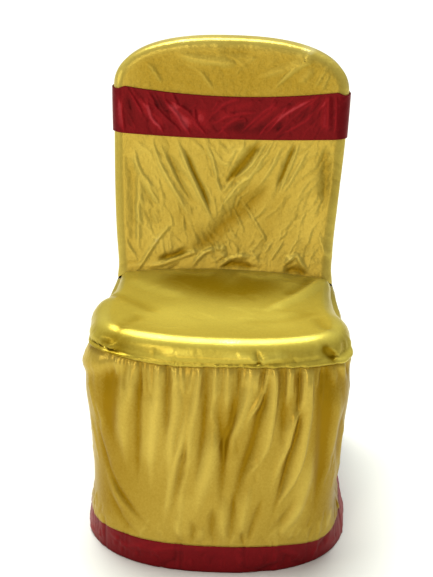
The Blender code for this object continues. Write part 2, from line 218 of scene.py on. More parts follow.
def creaseRelief(creases, a, b, start=0.22, finish=None):
    # start and finish are the shares of its length over which a crease fades in and out
    finish = finish or start
    shape = creaseShape
    a, b = np.asarray(a, float), np.asarray(b, float)
    total = np.zeros(a.shape)
    for crease in creases:
        line = smoothLine(crease.path)
        reach = shape["reach"] * crease.width * (1 + abs(crease.lean))
        low, high = line.min(axis=0) - reach, line.max(axis=0) + reach
        near = (a > low[0]) & (a < high[0]) & (b > low[1]) & (b < high[1])
        if not near.any():
            continue
        points = np.stack([a[near], b[near]], axis=-1)
        steps = np.diff(line, axis=0)
        lengths = np.linalg.norm(steps, axis=1)
        starts = np.concatenate([[0.0], np.cumsum(lengths)[:-1]])
        offsets = points[:, None, :] - line[None, :-1, :]
        share = np.clip((offsets * steps).sum(axis=2) / lengths ** 2, 0, 1)
        gaps = offsets - share[..., None] * steps
        distance = np.linalg.norm(gaps, axis=2)
        pick = distance.argmin(axis=1)
        each = np.arange(len(points))
        along = (starts[pick] + share[each, pick] * lengths[pick]) / lengths.sum()
        step, offset = steps[pick], offsets[each, pick]
        side = np.sign(step[:, 0] * offset[:, 1] - step[:, 1] * offset[:, 0])
        fade = ease(along / start) * ease((1 - along) / finish)
        width = crease.width * (shape["endWidth"] + (1 - shape["endWidth"]) * fade)
        q = distance[each, pick] / width * (1 + crease.lean * side)
        soft = np.exp(-(q ** 2))
        sharp = np.exp(-shape["sharpness"] * (np.sqrt(q ** 2 + shape["tip"]) - shape["tipLevel"]))
        level = np.exp(-(shape["levelWidth"] * q) ** 4)
        crisp = sharp if crease.crisp > 0 else level
        total[near] += crease.depth * fade * (soft + (crisp - soft) * abs(crease.crisp))
    return total


def linked(name, data):
    made = bpy.data.objects.new(name, data)
    bpy.context.scene.collection.objects.link(made)
    return made


def meshPiece(name, bm):
    mesh = bpy.data.meshes.new(name)
    bm.to_mesh(mesh)
    bm.free()
    return linked(name, mesh)


def gridMesh(name, across, down):
    # a grid, with each point's share of the way across (u) and down (v)
    bm = bmesh.new()
    bmesh.ops.create_grid(bm, x_segments=across, y_segments=down, size=1.0)
    piece = meshPiece(name, bm)
    mesh = piece.data
    flat = np.empty(len(mesh.vertices) * 3)
    mesh.vertices.foreach_get("co", flat)
    flat = flat.reshape(-1, 3)
    return piece, (flat[:, 0] + 1) / 2, (1 - flat[:, 1]) / 2


def hoopedMesh(name, across, up, turn, rings):
    # A grid with rings drawn out of its two sides and its top. share is the share of the way
    # round that rim, of which each side takes turn.
    bm = bmesh.new()
    bmesh.ops.create_grid(bm, x_segments=across, y_segments=up, size=1.0)
    uLayer, vLayer, shareLayer, ringLayer = (
        bm.verts.layers.float.new(word) for word in ("u", "v", "share", "ring"))
    nearly = 1e-5
    for vert in bm.verts:
        u, v = (vert.co.x + 1) / 2, (vert.co.y + 1) / 2
        vert[uLayer], vert[vLayer], vert[shareLayer] = u, v, -1.0
        if u < nearly:
            vert[shareLayer] = turn * v
        elif u > 1 - nearly:
            vert[shareLayer] = 1 - turn * v
        elif v > 1 - nearly:
            vert[shareLayer] = turn + (1 - 2 * turn) * u
    rim = [edge for edge in bm.edges
           if edge.is_boundary and all(vert[shareLayer] >= 0 for vert in edge.verts)]
    for ring in range(rings):
        drawn = bmesh.ops.extrude_edge_only(bm, edges=rim)["geom"]
        verts = {item for item in drawn if isinstance(item, bmesh.types.BMVert)}
        for vert in verts:
            vert[ringLayer] = ring + 1
        rim = [item for item in drawn
               if isinstance(item, bmesh.types.BMEdge) and set(item.verts) <= verts]
    places = np.array([[vert[layer] for layer in (uLayer, vLayer, shareLayer, ringLayer)]
                       for vert in bm.verts])
    piece = meshPiece(name, bm)
    for word in ("u", "v", "share", "ring"):
        piece.data.attributes.remove(piece.data.attributes[word])
    return piece, places.T


def hoopedFlat(edge, foot, turn, u, v):
    # places on the flat patch that the foot and the edge's three sides enclose
    u, v = u[:, None], v[:, None]
    left, right = edge(turn * v[:, 0]), edge(1 - turn * v[:, 0])
    bottom, top = foot(u[:, 0]), edge(turn + (1 - 2 * turn) * u[:, 0])
    corners = [edge(np.array([share]))[0] for share in (0.0, 1.0, turn, 1 - turn)]
    rows = (1 - v) * bottom + v * top
    columns = (1 - u) * left + u * right
    lows = (1 - u) * corners[0] + u * corners[1]
    highs = (1 - u) * corners[2] + u * corners[3]
    return rows + columns - (1 - v) * lows - v * highs


def finishCloth(piece, points, inside, flatPlaces, paintedShading, material, closed=False):
    mesh = piece.data
    mesh.vertices.foreach_set("co", points.ravel())
    uvLayer = mesh.uv_layers.new(name="clothUV")
    corners = np.empty(len(mesh.loops), dtype=np.int32)
    mesh.loops.foreach_get("vertex_index", corners)
    uvLayer.data.foreach_set("uv", flatPlaces[corners].astype(np.float32).ravel())
    # the cloth's painted shading: painted shade in troughs and hollows, painted light and highlights on
    # ridges and rims
    attribute = mesh.attributes.new("paintedShading", "FLOAT", "POINT")
    attribute.data.foreach_set("value", paintedShading.astype(np.float32))
    if closed:
        bm = bmesh.new()
        bm.from_mesh(mesh)
        bmesh.ops.remove_doubles(bm, verts=bm.verts, dist=1e-5)
        bm.to_mesh(mesh)
        bm.free()
    mesh.update()
    middle = Vector(inside)
    facing = sum(face.normal.dot(face.center - middle) for face in mesh.polygons)
    if facing < 0:
        mesh.flip_normals()
    mesh.shade_smooth()
    wall = piece.modifiers.new("thickness", "SOLIDIFY")
    wall.thickness = cover["clothThickness"]
    wall.offset = 1.0
    mesh.materials.append(material)
    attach(piece, "root")
    return piece


class Value:    # a shader socket, so that maths on it reads as an expression
    def __init__(self, look, socket):
        self.look, self.socket = look, socket

    def maths(self, operation, first, second):
        return self.look.node("ShaderNodeMath", {"operation": operation}, {0: first, 1: second})

    def __add__(self, other):
        return self.maths("ADD", self, other)

    def __sub__(self, other):
        return self.maths("SUBTRACT", self, other)

    def __rsub__(self, other):
        return self.maths("SUBTRACT", other, self)

    def __mul__(self, other):
        return self.maths("MULTIPLY", self, other)

    __radd__ = __add__
    __rmul__ = __mul__


class Look:    # one material and its nodes
    def __init__(self, name):
        self.material = bpy.data.materials.new(name)
        self.material.use_nodes = True
        self.tree = self.material.node_tree
        self.shader = self.tree.nodes["Principled BSDF"]

    def feed(self, socket, value):
        if isinstance(value, Value):
            self.tree.links.new(value.socket, socket)
        else:
            socket.default_value = value

    def node(self, kind, settings, inputs, out=0):
        made = self.tree.nodes.new(kind)
        for word, setting in settings.items():
            setattr(made, word, setting)
        for key, value in inputs.items():
            self.feed(made.inputs[key], value)
        return Value(self, made.outputs[out])

    def finish(self, inputs):
        for key, value in inputs.items():
            self.feed(self.shader.inputs[key], value)
        return self.material


goldSatin = {
    "deep": (0.27, 0.150, 0.002, 1.0),
    "pale": (0.68, 0.51, 0.100, 1.0),
    # the last colour is that of the painted highlights on rims and rolled edges
    "paintedHighlightColour": (0.86, 0.78, 0.44, 1.0),
    "glaze": 0.10, "sheen": (1.0, 0.92, 0.60, 1.0),
    "metallic": 0.38, "roughness": 0.30,
    "crumple": 55.0, "crumpleHeight": 0.0016,
}
maroonSatin = {
    "deep": (0.050, 0.001, 0.001, 1.0),
    "pale": (0.23, 0.006, 0.009, 1.0),
    # the last colour is that of the painted highlights on the sash's ridges
    "paintedHighlightColour": (0.40, 0.040, 0.050, 1.0),
    "glaze": 0.5, "sheen": (1.0, 0.22, 0.26, 1.0),
    "metallic": 0.40, "roughness": 0.38,
    "crumple": 80.0, "crumpleHeight": 0.0024,
}
weave = {
    "cloud": 9.0, "grain": 900.0, "sparkle": 240.0,    # scales of the noise
    "alongThread": (1.0, 0.35, 1.0),
    # how much each makes the cloth paler, and the paleness past which it turns to the colour of painted
    # highlights
    "byFold": 0.80, "byCloud": 0.25, "bySparkle": 0.35, "less": 0.20,
    "paintedHighlightSlope": 2.0, "paintedHighlightFrom": 1.9,
    "roughSpread": 0.12,
    # strength and height of the bumps
    "crumpled": 0.30, "sparkling": (0.25, 0.0005), "threads": (0.35, 0.00025),
}


def satin(name, values):
    look = Look(name)
    place = look.node("ShaderNodeTexCoord", {}, {}, out="Object")
    onCloth = look.node("ShaderNodeTexCoord", {}, {}, out="UV")
    # painted shading read from the mesh: painted shade in troughs, painted light and highlights on ridges
    # and rims
    paintedShading = look.node("ShaderNodeAttribute", {"attribute_name": "paintedShading"}, {}, out="Fac")
    threads = look.node("ShaderNodeMapping", {"vector_type": "POINT"},
                        {"Vector": onCloth, "Scale": weave["alongThread"]})

    def noise(vector, scale, **more):
        return look.node("ShaderNodeTexNoise", {}, {"Vector": vector, "Scale": scale, **more})

    def mixed(share, first, second):
        return look.node("ShaderNodeMix", {"data_type": "RGBA", "clamp_factor": True},
                         {0: share, 6: first, 7: second}, out=2)

    cloudy = noise(place, weave["cloud"], Detail=3.0)
    crumple = noise(place, values["crumple"], Detail=4.0, Roughness=0.55)
    grain = noise(threads, weave["grain"], Detail=2.0)
    sparkle = noise(place, weave["sparkle"], Detail=3.0, Roughness=0.6)
    # paleness mixes random tone from the noise with the cloth's painted shade, light and highlights
    paleness = (paintedShading * weave["byFold"] + cloudy * weave["byCloud"]
                + sparkle * weave["bySparkle"] - weave["less"])
    colour = mixed(paleness, values["deep"], values["pale"])
    # past a paleness it turns to the colour of painted highlights
    colour = mixed(paleness * weave["paintedHighlightSlope"] - weave["paintedHighlightFrom"], colour, values["paintedHighlightColour"])
    bumps = {}
    for height, strength, distance in [
            (crumple, weave["crumpled"], values["crumpleHeight"]),
            (sparkle, *weave["sparkling"]), (grain, *weave["threads"])]:
        bumps = {"Normal": look.node(
            "ShaderNodeBump", {}, {"Height": height, "Strength": strength, "Distance": distance, **bumps})}
    return look.finish({
        "Base Color": colour,
        "Metallic": values["metallic"],
        "Roughness": grain * weave["roughSpread"] + (values["roughness"] - weave["roughSpread"] / 2),
        "Normal": bumps["Normal"],
        "Specular IOR Level": values["glaze"],
        "Specular Tint": values["sheen"],
    })


def paintedFoldShade(relief, span):
    # Painted shade and light: 0, the deep colour of painted shade, in a trough span deep, and 1, the pale
    # colour of painted light, on a ridge span high
    return ease(0.5 + relief / (2 * span))


gold = satin("gold satin", goldSatin)
crumpledGold = satin("crumpled gold satin", dict(
    goldSatin, crumple=85.0, crumpleHeight=0.0034,
    deep=(0.262, 0.156, 0.002, 1.0), pale=(0.655, 0.508, 0.100, 1.0)))
# a copy of the gold satin made greener for the seat, standing in for the cool light on its top: painted top
# light
seatGoldLitCopy = satin("seat gold satin with painted top light", dict(
    goldSatin, deep=(0.255, 0.158, 0.002, 1.0), pale=(0.64, 0.52, 0.085, 1.0)))
maroon = satin("maroon satin", maroonSatin)


def backOutline(column, foot, footHalfWidth=None):
    heights = np.linspace(foot, cover["shoulder"], 60, endpoint=False)
    halfWidths = readRows(backRows, column, heights)
    if footHalfWidth is not None:
        halfWidths += (footHalfWidth - halfWidths[0]) * ease((foot + 0.03 - heights) / 0.03)
    side = list(zip(halfWidths, heights))
    shoulderWidth = float(readRows(backRows, column, cover["shoulder"]))
    over = [(x, cover["shoulder"] + rise) for x, rise in roundedEnd(
        shoulderWidth, cover["backTop"] - cover["shoulder"], cover["topPower"])]
    points = np.array([(-x, height) for x, height in side] + over + side[::-1])
    points[:, 0] += readRows(backRows, "askew", points[:, 1])
    return Route(points)


def seatPlan(rear):
    side = [(row.halfWidth, -row.y) for row in seatSides[:-1]] + [(seatSides[-1].halfWidth, -rear)]
    start = seatEdge.front - seatEdge.reach
    over = [(x, start + rise)
            for x, rise in roundedEnd(seatEdge.halfWidth, seatEdge.reach, seatEdge.power)]
    return Route([(-x, forward) for x, forward in side[::-1]] + over + side)


def skirtPlan(height):
    halfWidth, front, reach, power = (
        float(readRows(planRows, column, height)) for column in ("halfWidth", "front", "reach", "power"))
    rear = -float(readRows(backRows, "rear", height))
    rearHalfWidth = float(readRows(backRows, "rearHalfWidth", height))
    roundFront = [(x, front - reach + rise) for x, rise in roundedEnd(halfWidth, reach, power)]
    return Route([(-rearHalfWidth, rear)] + roundFront + [(rearHalfWidth, rear)])


planHeights = np.linspace(0.0, 0.40, 81)
planShares = np.linspace(0.0, 1.0, 1601)
plans = [skirtPlan(height) for height in planHeights]
planPoints = np.array([plan.at(planShares) for plan in plans])
planOutward = np.array([plan.outward(planShares) for plan in plans])
planLengths = np.array([plan.length for plan in plans])


def betweenPlans(values, share, height):
    row = np.clip(height / planHeights[1], 0, len(planHeights) - 1.001)
    column = np.clip(share / planShares[1], 0, len(planShares) - 1.001)
    i, j = row.astype(int), column.astype(int)
    s, t = (row - i)[:, None], (column - j)[:, None]
    return ((1 - s) * ((1 - t) * values[i, j] + t * values[i, j + 1])
            + s * ((1 - t) * values[i + 1, j] + t * values[i + 1, j + 1]))


def roundSkirt(share, height):
    return (share - 0.5) * np.interp(height, planHeights, planLengths)


backCreases = creaseRows([
    # above the sash
    ([(0.182, 0.795), (0.158, 0.752)], 0.003, 0.001, 0, 0.5),
    ([(0.188, 0.785), (0.172, 0.748)], 0.003, 0.001, 0, 0.5),
    ([(0.158, 0.795), (0.128, 0.76)], 0.007, 0.001),
    ([(0.16, 0.818), (0.105, 0.79), (0.045, 0.77)], 0.007, 0.0011),
    ([(-0.165, 0.795), (-0.148, 0.775), (-0.132, 0.75)], 0.003, 0.0013, 0, 0.6),
    ([(-0.115, 0.812), (-0.06, 0.8), (0.02, 0.794)], 0.008, 0.0016),
    ([(-0.068, 0.785), (-0.05, 0.765), (-0.03, 0.738)], 0.003, 0.0011, 0, 0.5),
    ([(-0.04, 0.824), (0.01, 0.818), (0.05, 0.82)], 0.006, -0.001),
    ([(0.13, 0.8), (0.105, 0.775), (0.078, 0.745)], 0.003, 0.0012, 0, 0.5),
    ([(0.165, 0.812), (0.125, 0.79), (0.09, 0.76)], 0.004, 0.0012),
    # below the sash, long thin ridges from the left
    ([(-0.187, 0.64), (-0.17, 0.58), (-0.136, 0.527), (-0.122, 0.49)], 0.0026, 0.0014, 0.2, 0.7),
    ([(-0.184, 0.605), (-0.156, 0.566), (-0.135, 0.54)], 0.0022, 0.0012, 0, 0.7),
    ([(-0.154, 0.66), (-0.136, 0.606), (-0.104, 0.551), (-0.07, 0.495)], 0.0026, 0.0019, 0.2, 0.7),
    ([(-0.145, 0.66), (-0.116, 0.598), (-0.081, 0.54), (-0.05, 0.498)], 0.0024, 0.0017, 0, 0.7),
    ([(-0.108, 0.66), (-0.081, 0.6), (-0.047, 0.53), (-0.022, 0.482)], 0.0034, 0.003, 0.3, 0.7),
    ([(-0.047, 0.65), (-0.03, 0.607), (-0.018, 0.559), (0.001, 0.535)], 0.0026, 0.0018, 0, 0.6),
    ([(-0.044, 0.65), (-0.013, 0.608), (0.018, 0.603)], 0.0022, 0.0014, 0, 0.7),
    ([(0.075, 0.655), (0.042, 0.601), (0.007, 0.571), (-0.016, 0.54)], 0.003, 0.0024, 0.2, 0.7),
    ([(0.088, 0.655), (0.045, 0.587), (0.016, 0.56), (-0.028, 0.5)], 0.0028, 0.0022, -0.2, 0.7),
    ([(0.108, 0.65), (0.07, 0.58), (0.052, 0.558)], 0.0024, 0.0014, 0, 0.6),
    ([(0.138, 0.655), (0.113, 0.586), (0.098, 0.545)], 0.0028, 0.0019, 0, 0.6),
    ([(0.156, 0.645), (0.128, 0.589), (0.104, 0.545)], 0.0024, 0.0016, 0, 0.7),
    ([(0.019, 0.546), (0.045, 0.51), (0.07, 0.471), (0.088, 0.435)], 0.0022, 0.0015, 0, 0.7),
    ([(0.005, 0.531), (0.022, 0.498), (0.036, 0.47)], 0.0022, 0.0014, 0, 0.7),
    ([(-0.004, 0.497), (0.016, 0.464), (0.028, 0.453)], 0.0022, 0.0013, 0, 0.7),
    ([(0.042, 0.427), (0.06, 0.45), (0.079, 0.477)], 0.002, 0.0013, 0, 0.7),
    ([(0.073, 0.434), (0.096, 0.466)], 0.002, 0.0013, 0, 0.7),
    ([(0.085, 0.42), (0.116, 0.467)], 0.0022, 0.0014, 0, 0.7),
    ([(0.045, 0.445), (0.068, 0.414)], 0.002, 0.0012, 0, 0.7),
    ([(0.179, 0.483), (0.196, 0.433)], 0.0026, 0.0013, 0, 0.5),
    ([(-0.098, 0.497), (-0.133, 0.459), (-0.167, 0.412), (-0.184, 0.397)], 0.003, 0.002, 0.3, 0.6),
    ([(-0.17, 0.412), (-0.136, 0.41), (-0.11, 0.417), (-0.061, 0.433), (-0.036, 0.433)],
     0.0032, 0.0024, -0.3, 0.5),
    ([(-0.07, 0.401), (-0.053, 0.424), (-0.03, 0.439), (0.01, 0.443)], 0.0034, 0.0026, 0.2, 0.5),
    ([(-0.018, 0.404), (0.016, 0.426), (0.055, 0.429)], 0.0034, 0.0028, 0.2, 0.5),
    ([(0.108, 0.41), (0.136, 0.436), (0.15, 0.422), (0.168, 0.406)], 0.0032, 0.0026, 0, 0.5),
    ([(-0.174, 0.6), (-0.174, 0.51), (-0.172, 0.425)], 0.0045, 0.0013),
    # the hollows between them
    ([(-0.09, 0.64), (-0.07, 0.591), (-0.047, 0.547), (-0.03, 0.505)], 0.0045, -0.0026, 0, -0.3),
    ([(0.064, 0.655), (0.019, 0.594), (-0.01, 0.56)], 0.0085, -0.0028, 0, -0.3),
    ([(0.09, 0.583), (0.058, 0.547), (0.03, 0.521), (-0.007, 0.486), (-0.047, 0.45), (-0.093, 0.437)],
     0.015, -0.0016),
    ([(0.128, 0.655), (0.108, 0.592), (0.094, 0.56)], 0.005, -0.0024),
    ([(-0.125, 0.64), (-0.095, 0.57), (-0.062, 0.505)], 0.006, -0.0018),
    ([(-0.136, 0.422), (-0.1, 0.428), (-0.07, 0.436)], 0.006, -0.0026),
    ([(-0.014, 0.404), (0.019, 0.412), (0.062, 0.408)], 0.0075, -0.002),
    ([(0.112, 0.402), (0.136, 0.41), (0.164, 0.402)], 0.008, -0.002),
    ([(-0.205, 0.64), (-0.186, 0.56), (-0.183, 0.43)], 0.009, -0.001),
    ([(0.186, 0.655), (0.188, 0.59), (0.19, 0.52)], 0.011, -0.0024),
])
# Painted shade in the back's hollows, painted light on its ridges, and a broad band of painted shade above
# the sash: where the back is deeper in colour, or paler, than its folds alone would make it.
backPaintedShading = creaseRows([
    ([(0.066, 0.655), (0.019, 0.594), (-0.01, 0.56)], 0.0095, -0.45, 0, -0.3),
    ([(0.095, 0.59), (0.058, 0.547), (0.03, 0.521), (-0.007, 0.486), (-0.047, 0.45), (-0.1, 0.436)],
     0.017, -0.3),
    ([(-0.088, 0.64), (-0.07, 0.591), (-0.047, 0.547), (-0.03, 0.505)], 0.0045, -0.5),
    ([(-0.142, 0.422), (-0.105, 0.426), (-0.066, 0.434)], 0.007, -0.5),
    ([(-0.016, 0.404), (0.019, 0.414), (0.062, 0.407)], 0.0085, -0.42),
    ([(0.11, 0.402), (0.136, 0.412), (0.166, 0.402)], 0.0095, -0.36),
    ([(0.13, 0.655), (0.106, 0.59), (0.092, 0.56)], 0.0055, -0.45),
    ([(0.12, 0.56), (0.09, 0.51), (0.07, 0.45)], 0.016, -0.22),
    ([(-0.1, 0.52), (-0.08, 0.48), (-0.04, 0.47)], 0.012, -0.22),
    ([(-0.19, 0.64), (-0.15, 0.6), (-0.12, 0.54)], 0.02, 0.25),
    ([(-0.01, 0.64), (0.01, 0.625), (0.03, 0.64)], 0.02, 0.25),
    ([(0.15, 0.56), (0.16, 0.5), (0.15, 0.45)], 0.022, 0.2),
    ([(-0.15, 0.5), (-0.15, 0.46), (-0.11, 0.45)], 0.014, 0.2),
    ([(-0.26, 0.775), (0, 0.765), (0.26, 0.78)], 0.06, -0.55, 0, -0.5),
])

backSizes = {
    "across": 168, "up": 160, "turn": 0.38,
    "rollRings": 7, "sideRings": 11,
    "sideFoot": 0.3754, "sideFootHalfWidth": 0.2115,
    "underSash": (0.655, 0.752),
    # the last two here paint a highlight on the rolled rim, at its sides and over its top
    "shadeSpan": 0.0036, "tone": 0.10, "rimPaintedHighlight": 0.20, "topRimPaintedHighlight": 0.75,
}


def scattered(seed, count, low, high, length, width, depth, lean, crisp=0.3):
    # Fine creases; lean is the middle of their direction, in degrees, and how far it strays.
    rng = np.random.default_rng(seed)
    creases = []
    for _ in range(count):
        a, b = rng.uniform(low[0], high[0]), rng.uniform(low[1], high[1])
        run = rng.uniform(0.5, 1.0) * length
        angle = math.radians(lean[0] + rng.uniform(-1, 1) * lean[1])
        bend = rng.uniform(-0.15, 0.15) * run
        across = (math.cos(angle) * run / 2, math.sin(angle) * run / 2)
        middle = (a - math.sin(angle) * bend, b + math.cos(angle) * bend)
        size = rng.uniform(0.6, 1.0)
        creases.append(Crease([(a - across[0], b - across[1]), middle, (a + across[0], b + across[1])],
                              width * size, depth * size * rng.choice([-1.0, 1.0]),
                              rng.uniform(-0.4, 0.4), crisp))
    return creases


fineBack = (
    scattered(11, 110, (-0.19, 0.42), (0.02, 0.65), 0.080, 0.0024, 0.0008, (-58, 24), 0.5)
    + scattered(12, 130, (0.0, 0.42), (0.20, 0.65), 0.080, 0.0024, 0.0008, (58, 22), 0.5)
    + scattered(13, 14, (-0.17, 0.76), (0.17, 0.81), 0.050, 0.0035, 0.0005, (20, 60))
    + scattered(14, 16, (-0.19, 0.405), (0.19, 0.445), 0.050, 0.0035, 0.0012, (10, 30))
)


def backRelief(x, height):
    relief = creaseRelief(backCreases, x, height, 0.3) + creaseRelief(fineBack, x, height, 0.4)
    low, high = backSizes["underSash"]
    pressed = ease((height - low) / 0.02) * ease((high - height) / 0.02)
    return relief * (1 - 0.9 * pressed)


def backFrontY(x, height):
    halfWidth = readRows(backRows, "halfWidth", height)
    bow = cover["backBow"] * (x / halfWidth) ** 2
    return readRows(backRows, "front", height) - bow


def backFrontPanel():
    sizes = backSizes
    piece, (u, v, share, ring) = hoopedMesh(
        "backFrontCloth", sizes["across"], sizes["up"], sizes["turn"],
        sizes["rollRings"] + sizes["sideRings"])
    foot = cover["crease"] - cover["creaseTuck"]
    face = backOutline("halfWidth", foot)
    wrapped = backOutline("halfWidth", sizes["sideFoot"], sizes["sideFootHalfWidth"])
    rear = backOutline("rearHalfWidth", sizes["sideFoot"])

    def rollAt(at):
        top = ease((0.5 - np.abs(at - 0.5)) / 0.5 * 1.7 - 0.6)
        return (cover["backRoll"] + (cover["backRollTop"] - cover["backRoll"]) * top)[..., None]

    def edge(at):
        return face.at(at) - rollAt(at) * face.outward(at)

    flat = np.zeros((len(u), 2))
    inner = ring == 0
    flat[inner] = hoopedFlat(edge, straightFoot(edge), sizes["turn"], u[inner], v[inner])
    outer = ~inner
    flat[outer] = edge(share[outer])
    roll = rollAt(share)[:, 0]
    x, height = flat.T
    lowered = cover["creaseDrop"] * (x / seatSides[-1].halfWidth) ** 2 * bell(height - cover["crease"], 0.05)
    relief = backRelief(x, height)
    y = backFrontY(x, height)
    turned = np.clip(ring / sizes["rollRings"], 0, 1)
    angle = turned * math.pi / 2
    outward = np.where(inner[:, None], 0.0, face.outward(share))
    arc = flat + (roll * np.sin(angle))[:, None] * outward
    arc[:, 1] -= lowered
    blend = ease(turned)[:, None]
    arc = (1 - blend) * arc + blend * np.where(inner[:, None], arc, wrapped.at(share))
    y = y - relief * np.cos(angle) + roll * (1 - np.cos(angle))
    arc += (relief * 0.6 * np.sin(angle) * (1 - 0.5 * turned))[:, None] * outward
    side = np.clip((ring - sizes["rollRings"]) / sizes["sideRings"], 0, 1)
    rearPlace = rear.at(share)
    rearY = readRows(backRows, "rear", rearPlace[:, 1]) - 0.0004
    sideCreases = sideRelief(share, side) * np.sin(math.pi * side)
    place = (1 - side)[:, None] * arc + side[:, None] * rearPlace + sideCreases[:, None] * outward
    depth = (1 - side) * y + side * rearY
    points = onCover(place[:, 0], -depth, place[:, 1])
    inside = onCover(0.0, -0.235, 0.55)
    # painted shade in the troughs and hollows, painted light on the ridges
    paintedShading = paintedFoldShade(relief, sizes["shadeSpan"]) + 0.8 * creaseRelief(backPaintedShading, x, height) + sizes["tone"]
    # painted highlight on the rolled rim, stronger over the top
    paintedShading += np.where(height > cover["shoulder"], sizes["topRimPaintedHighlight"], sizes["rimPaintedHighlight"]) * ease(turned * 2)
    cloth = finishCloth(piece, points, inside, place, paintedShading, crumpledGold)
    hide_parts("back_front_panel")
    print("back front panel:", len(points), "points")


def sideRelief(share, side):
    # Soft upright waves down the two sides of the pocket.
    return 0.0025 * np.sin(share * 61 + 3 * side) * np.sin(share * 23) * ease(abs(share - 0.5) / 0.2 - 0.6)


rearFolds = creaseRows([
    ([(-0.15, 0.64), (-0.16, 0.3), (-0.17, 0.04)], 0.03, 0.005),
    ([(-0.08, 0.6), (-0.09, 0.3), (-0.095, 0.04)], 0.028, -0.005),
    ([(-0.02, 0.66), (-0.015, 0.3), (-0.02, 0.04)], 0.03, 0.006),
    ([(0.06, 0.64), (0.055, 0.3), (0.06, 0.04)], 0.028, -0.005),
    ([(0.13, 0.6), (0.14, 0.3), (0.15, 0.04)], 0.03, 0.0055),
    ([(-0.19, 0.7), (-0.1, 0.56)], 0.012, -0.0025),
    ([(0.19, 0.7), (0.11, 0.56)], 0.012, -0.0025),
    ([(-0.15, 0.79), (0, 0.772), (0.15, 0.79)], 0.014, 0.0018),
])
rearSizes = {"across": 120, "up": 190, "turn": 0.42, "shadeSpan": 0.012}


def backRearPanel():
    sizes = rearSizes
    piece, (u, v, *_) = hoopedMesh("backRearCloth", sizes["across"], sizes["up"], sizes["turn"], 0)
    outline = backOutline("rearHalfWidth", borderHeight)

    def edge(at):
        return outline.at(at) + cover["clothThickness"] * outline.outward(at)

    flat = hoopedFlat(edge, straightFoot(edge), sizes["turn"], u, v)
    x, height = flat.T
    halfWidth = readRows(backRows, "rearHalfWidth", height)
    inset = ease((1 - np.abs(x) / halfWidth) / 0.18) * ease((cover["backTop"] - height) / 0.06)
    relief = rearRelief(x, height) * inset
    y = readRows(backRows, "rear", height) + relief
    points = onCover(x, -y, height)
    inside = onCover(0.0, 0.0, 0.15)
    # painted shade in the rear panel's troughs, painted light on its ridges
    paintedShading = paintedFoldShade(relief, sizes["shadeSpan"])
    cloth = finishCloth(piece, points, inside, flat, paintedShading, gold)
    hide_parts("back_rear_panel")
    print("back rear panel:", len(points), "points")


fineRear = scattered(21, 26, (-0.18, 0.10), (0.18, 0.74), 0.10, 0.006, 0.0012, (85, 25))


def rearRelief(x, height):
    low, high = backSizes["underSash"]
    pressed = ease((height - low + 0.03) / 0.04) * ease((high + 0.02 - height) / 0.04)
    relief = creaseRelief(rearFolds, x, height, 0.3) + creaseRelief(fineRear, x, height)
    return relief * (1 - 0.85 * pressed)


# The seat's creases are in x and forward.
seatCreases = creaseRows([
    ([(0.07, 0.08), (0.132, 0), (0.176, -0.09), (0.205, -0.15)], 0.012, 0.005, -0.2),
    ([(0.11, -0.01), (0.15, -0.08), (0.17, -0.14)], 0.01, -0.003),
    ([(-0.2, 0.01), (-0.15, 0.06), (-0.11, 0.11)], 0.016, -0.0025),
    ([(-0.19, -0.09), (-0.12, -0.02), (-0.06, 0.02)], 0.018, 0.002),
    ([(0.03, 0.13), (0.11, 0.12), (0.18, 0.06)], 0.016, -0.0018),
    ([(-0.12, -0.13), (-0.06, -0.11), (-0.01, -0.12)], 0.01, 0.0022),
    ([(0.02, -0.13), (0.07, -0.105), (0.12, -0.13)], 0.01, 0.0022),
    ([(-0.175, 0.21), (-0.15, 0.16), (-0.14, 0.11)], 0.01, -0.002),
    ([(0.19, 0.19), (0.17, 0.15), (0.165, 0.1)], 0.01, -0.0022),
])
# Painted reflection and shade of the back across the middle of the seat's rear, and painted light across its
# front.
seatPaintedShading = creaseRows([
    ([(-0.11, -0.15), (-0.04, -0.06), (0.03, -0.04), (0.1, -0.13)], 0.05, -0.6, 0, -0.5),
    ([(-0.02, -0.14), (0.03, -0.12)], 0.06, -0.2),
    ([(-0.16, 0.09), (0, 0.12), (0.16, 0.09)], 0.07, 0.35),
])
fineSeat = scattered(31, 26, (-0.17, -0.12), (0.17, 0.18), 0.08, 0.007, 0.0007, (25, 70), 0.0)

# The apron's creases are in the distance round the seam from the middle of the front, and height.
apronCreases = creaseRows([
    ([(-0.12, 0.386), (-0.06, 0.384), (0.03, 0.384), (0.12, 0.388)], 0.006, 0.003),
    ([(0.069, 0.374), (0.066, 0.385), (0.064, 0.396)], 0.005, -0.0036),
    ([(0.03, 0.392), (0.055, 0.388), (0.066, 0.377)], 0.0035, 0.0032, 0, 0.4),
    ([(0.11, 0.394), (0.085, 0.39), (0.07, 0.377)], 0.0035, 0.0036, 0, 0.4),
    # the right corner: a pocket with a folded lip, inside a round lobe
    ([(0.178, 0.406), (0.189, 0.394), (0.205, 0.379)], 0.0085, -0.0055, 0, -0.5),
    ([(0.17, 0.396), (0.176, 0.41), (0.19, 0.408), (0.204, 0.392), (0.212, 0.378)], 0.003, 0.005, 0, 0.6),
    ([(0.2, 0.376), (0.232, 0.374), (0.256, 0.386), (0.262, 0.402)], 0.008, 0.0042, 0.3),
    ([(0.222, 0.4), (0.236, 0.392)], 0.012, -0.003),
    # the left corner: a three-cornered pucker and a dimple
    ([(-0.165, 0.412), (-0.19, 0.402), (-0.222, 0.396)], 0.0035, 0.0036, 0, 0.5),
    ([(-0.165, 0.412), (-0.176, 0.398), (-0.19, 0.383)], 0.0035, 0.0036, 0, 0.5),
    ([(-0.192, 0.397), (-0.212, 0.394)], 0.006, -0.0024),
    ([(-0.184, 0.39), (-0.2, 0.386), (-0.214, 0.391)], 0.0035, 0.003, 0, 0.5),
    ([(-0.215, 0.4), (-0.245, 0.39), (-0.28, 0.394)], 0.008, 0.0034),
])
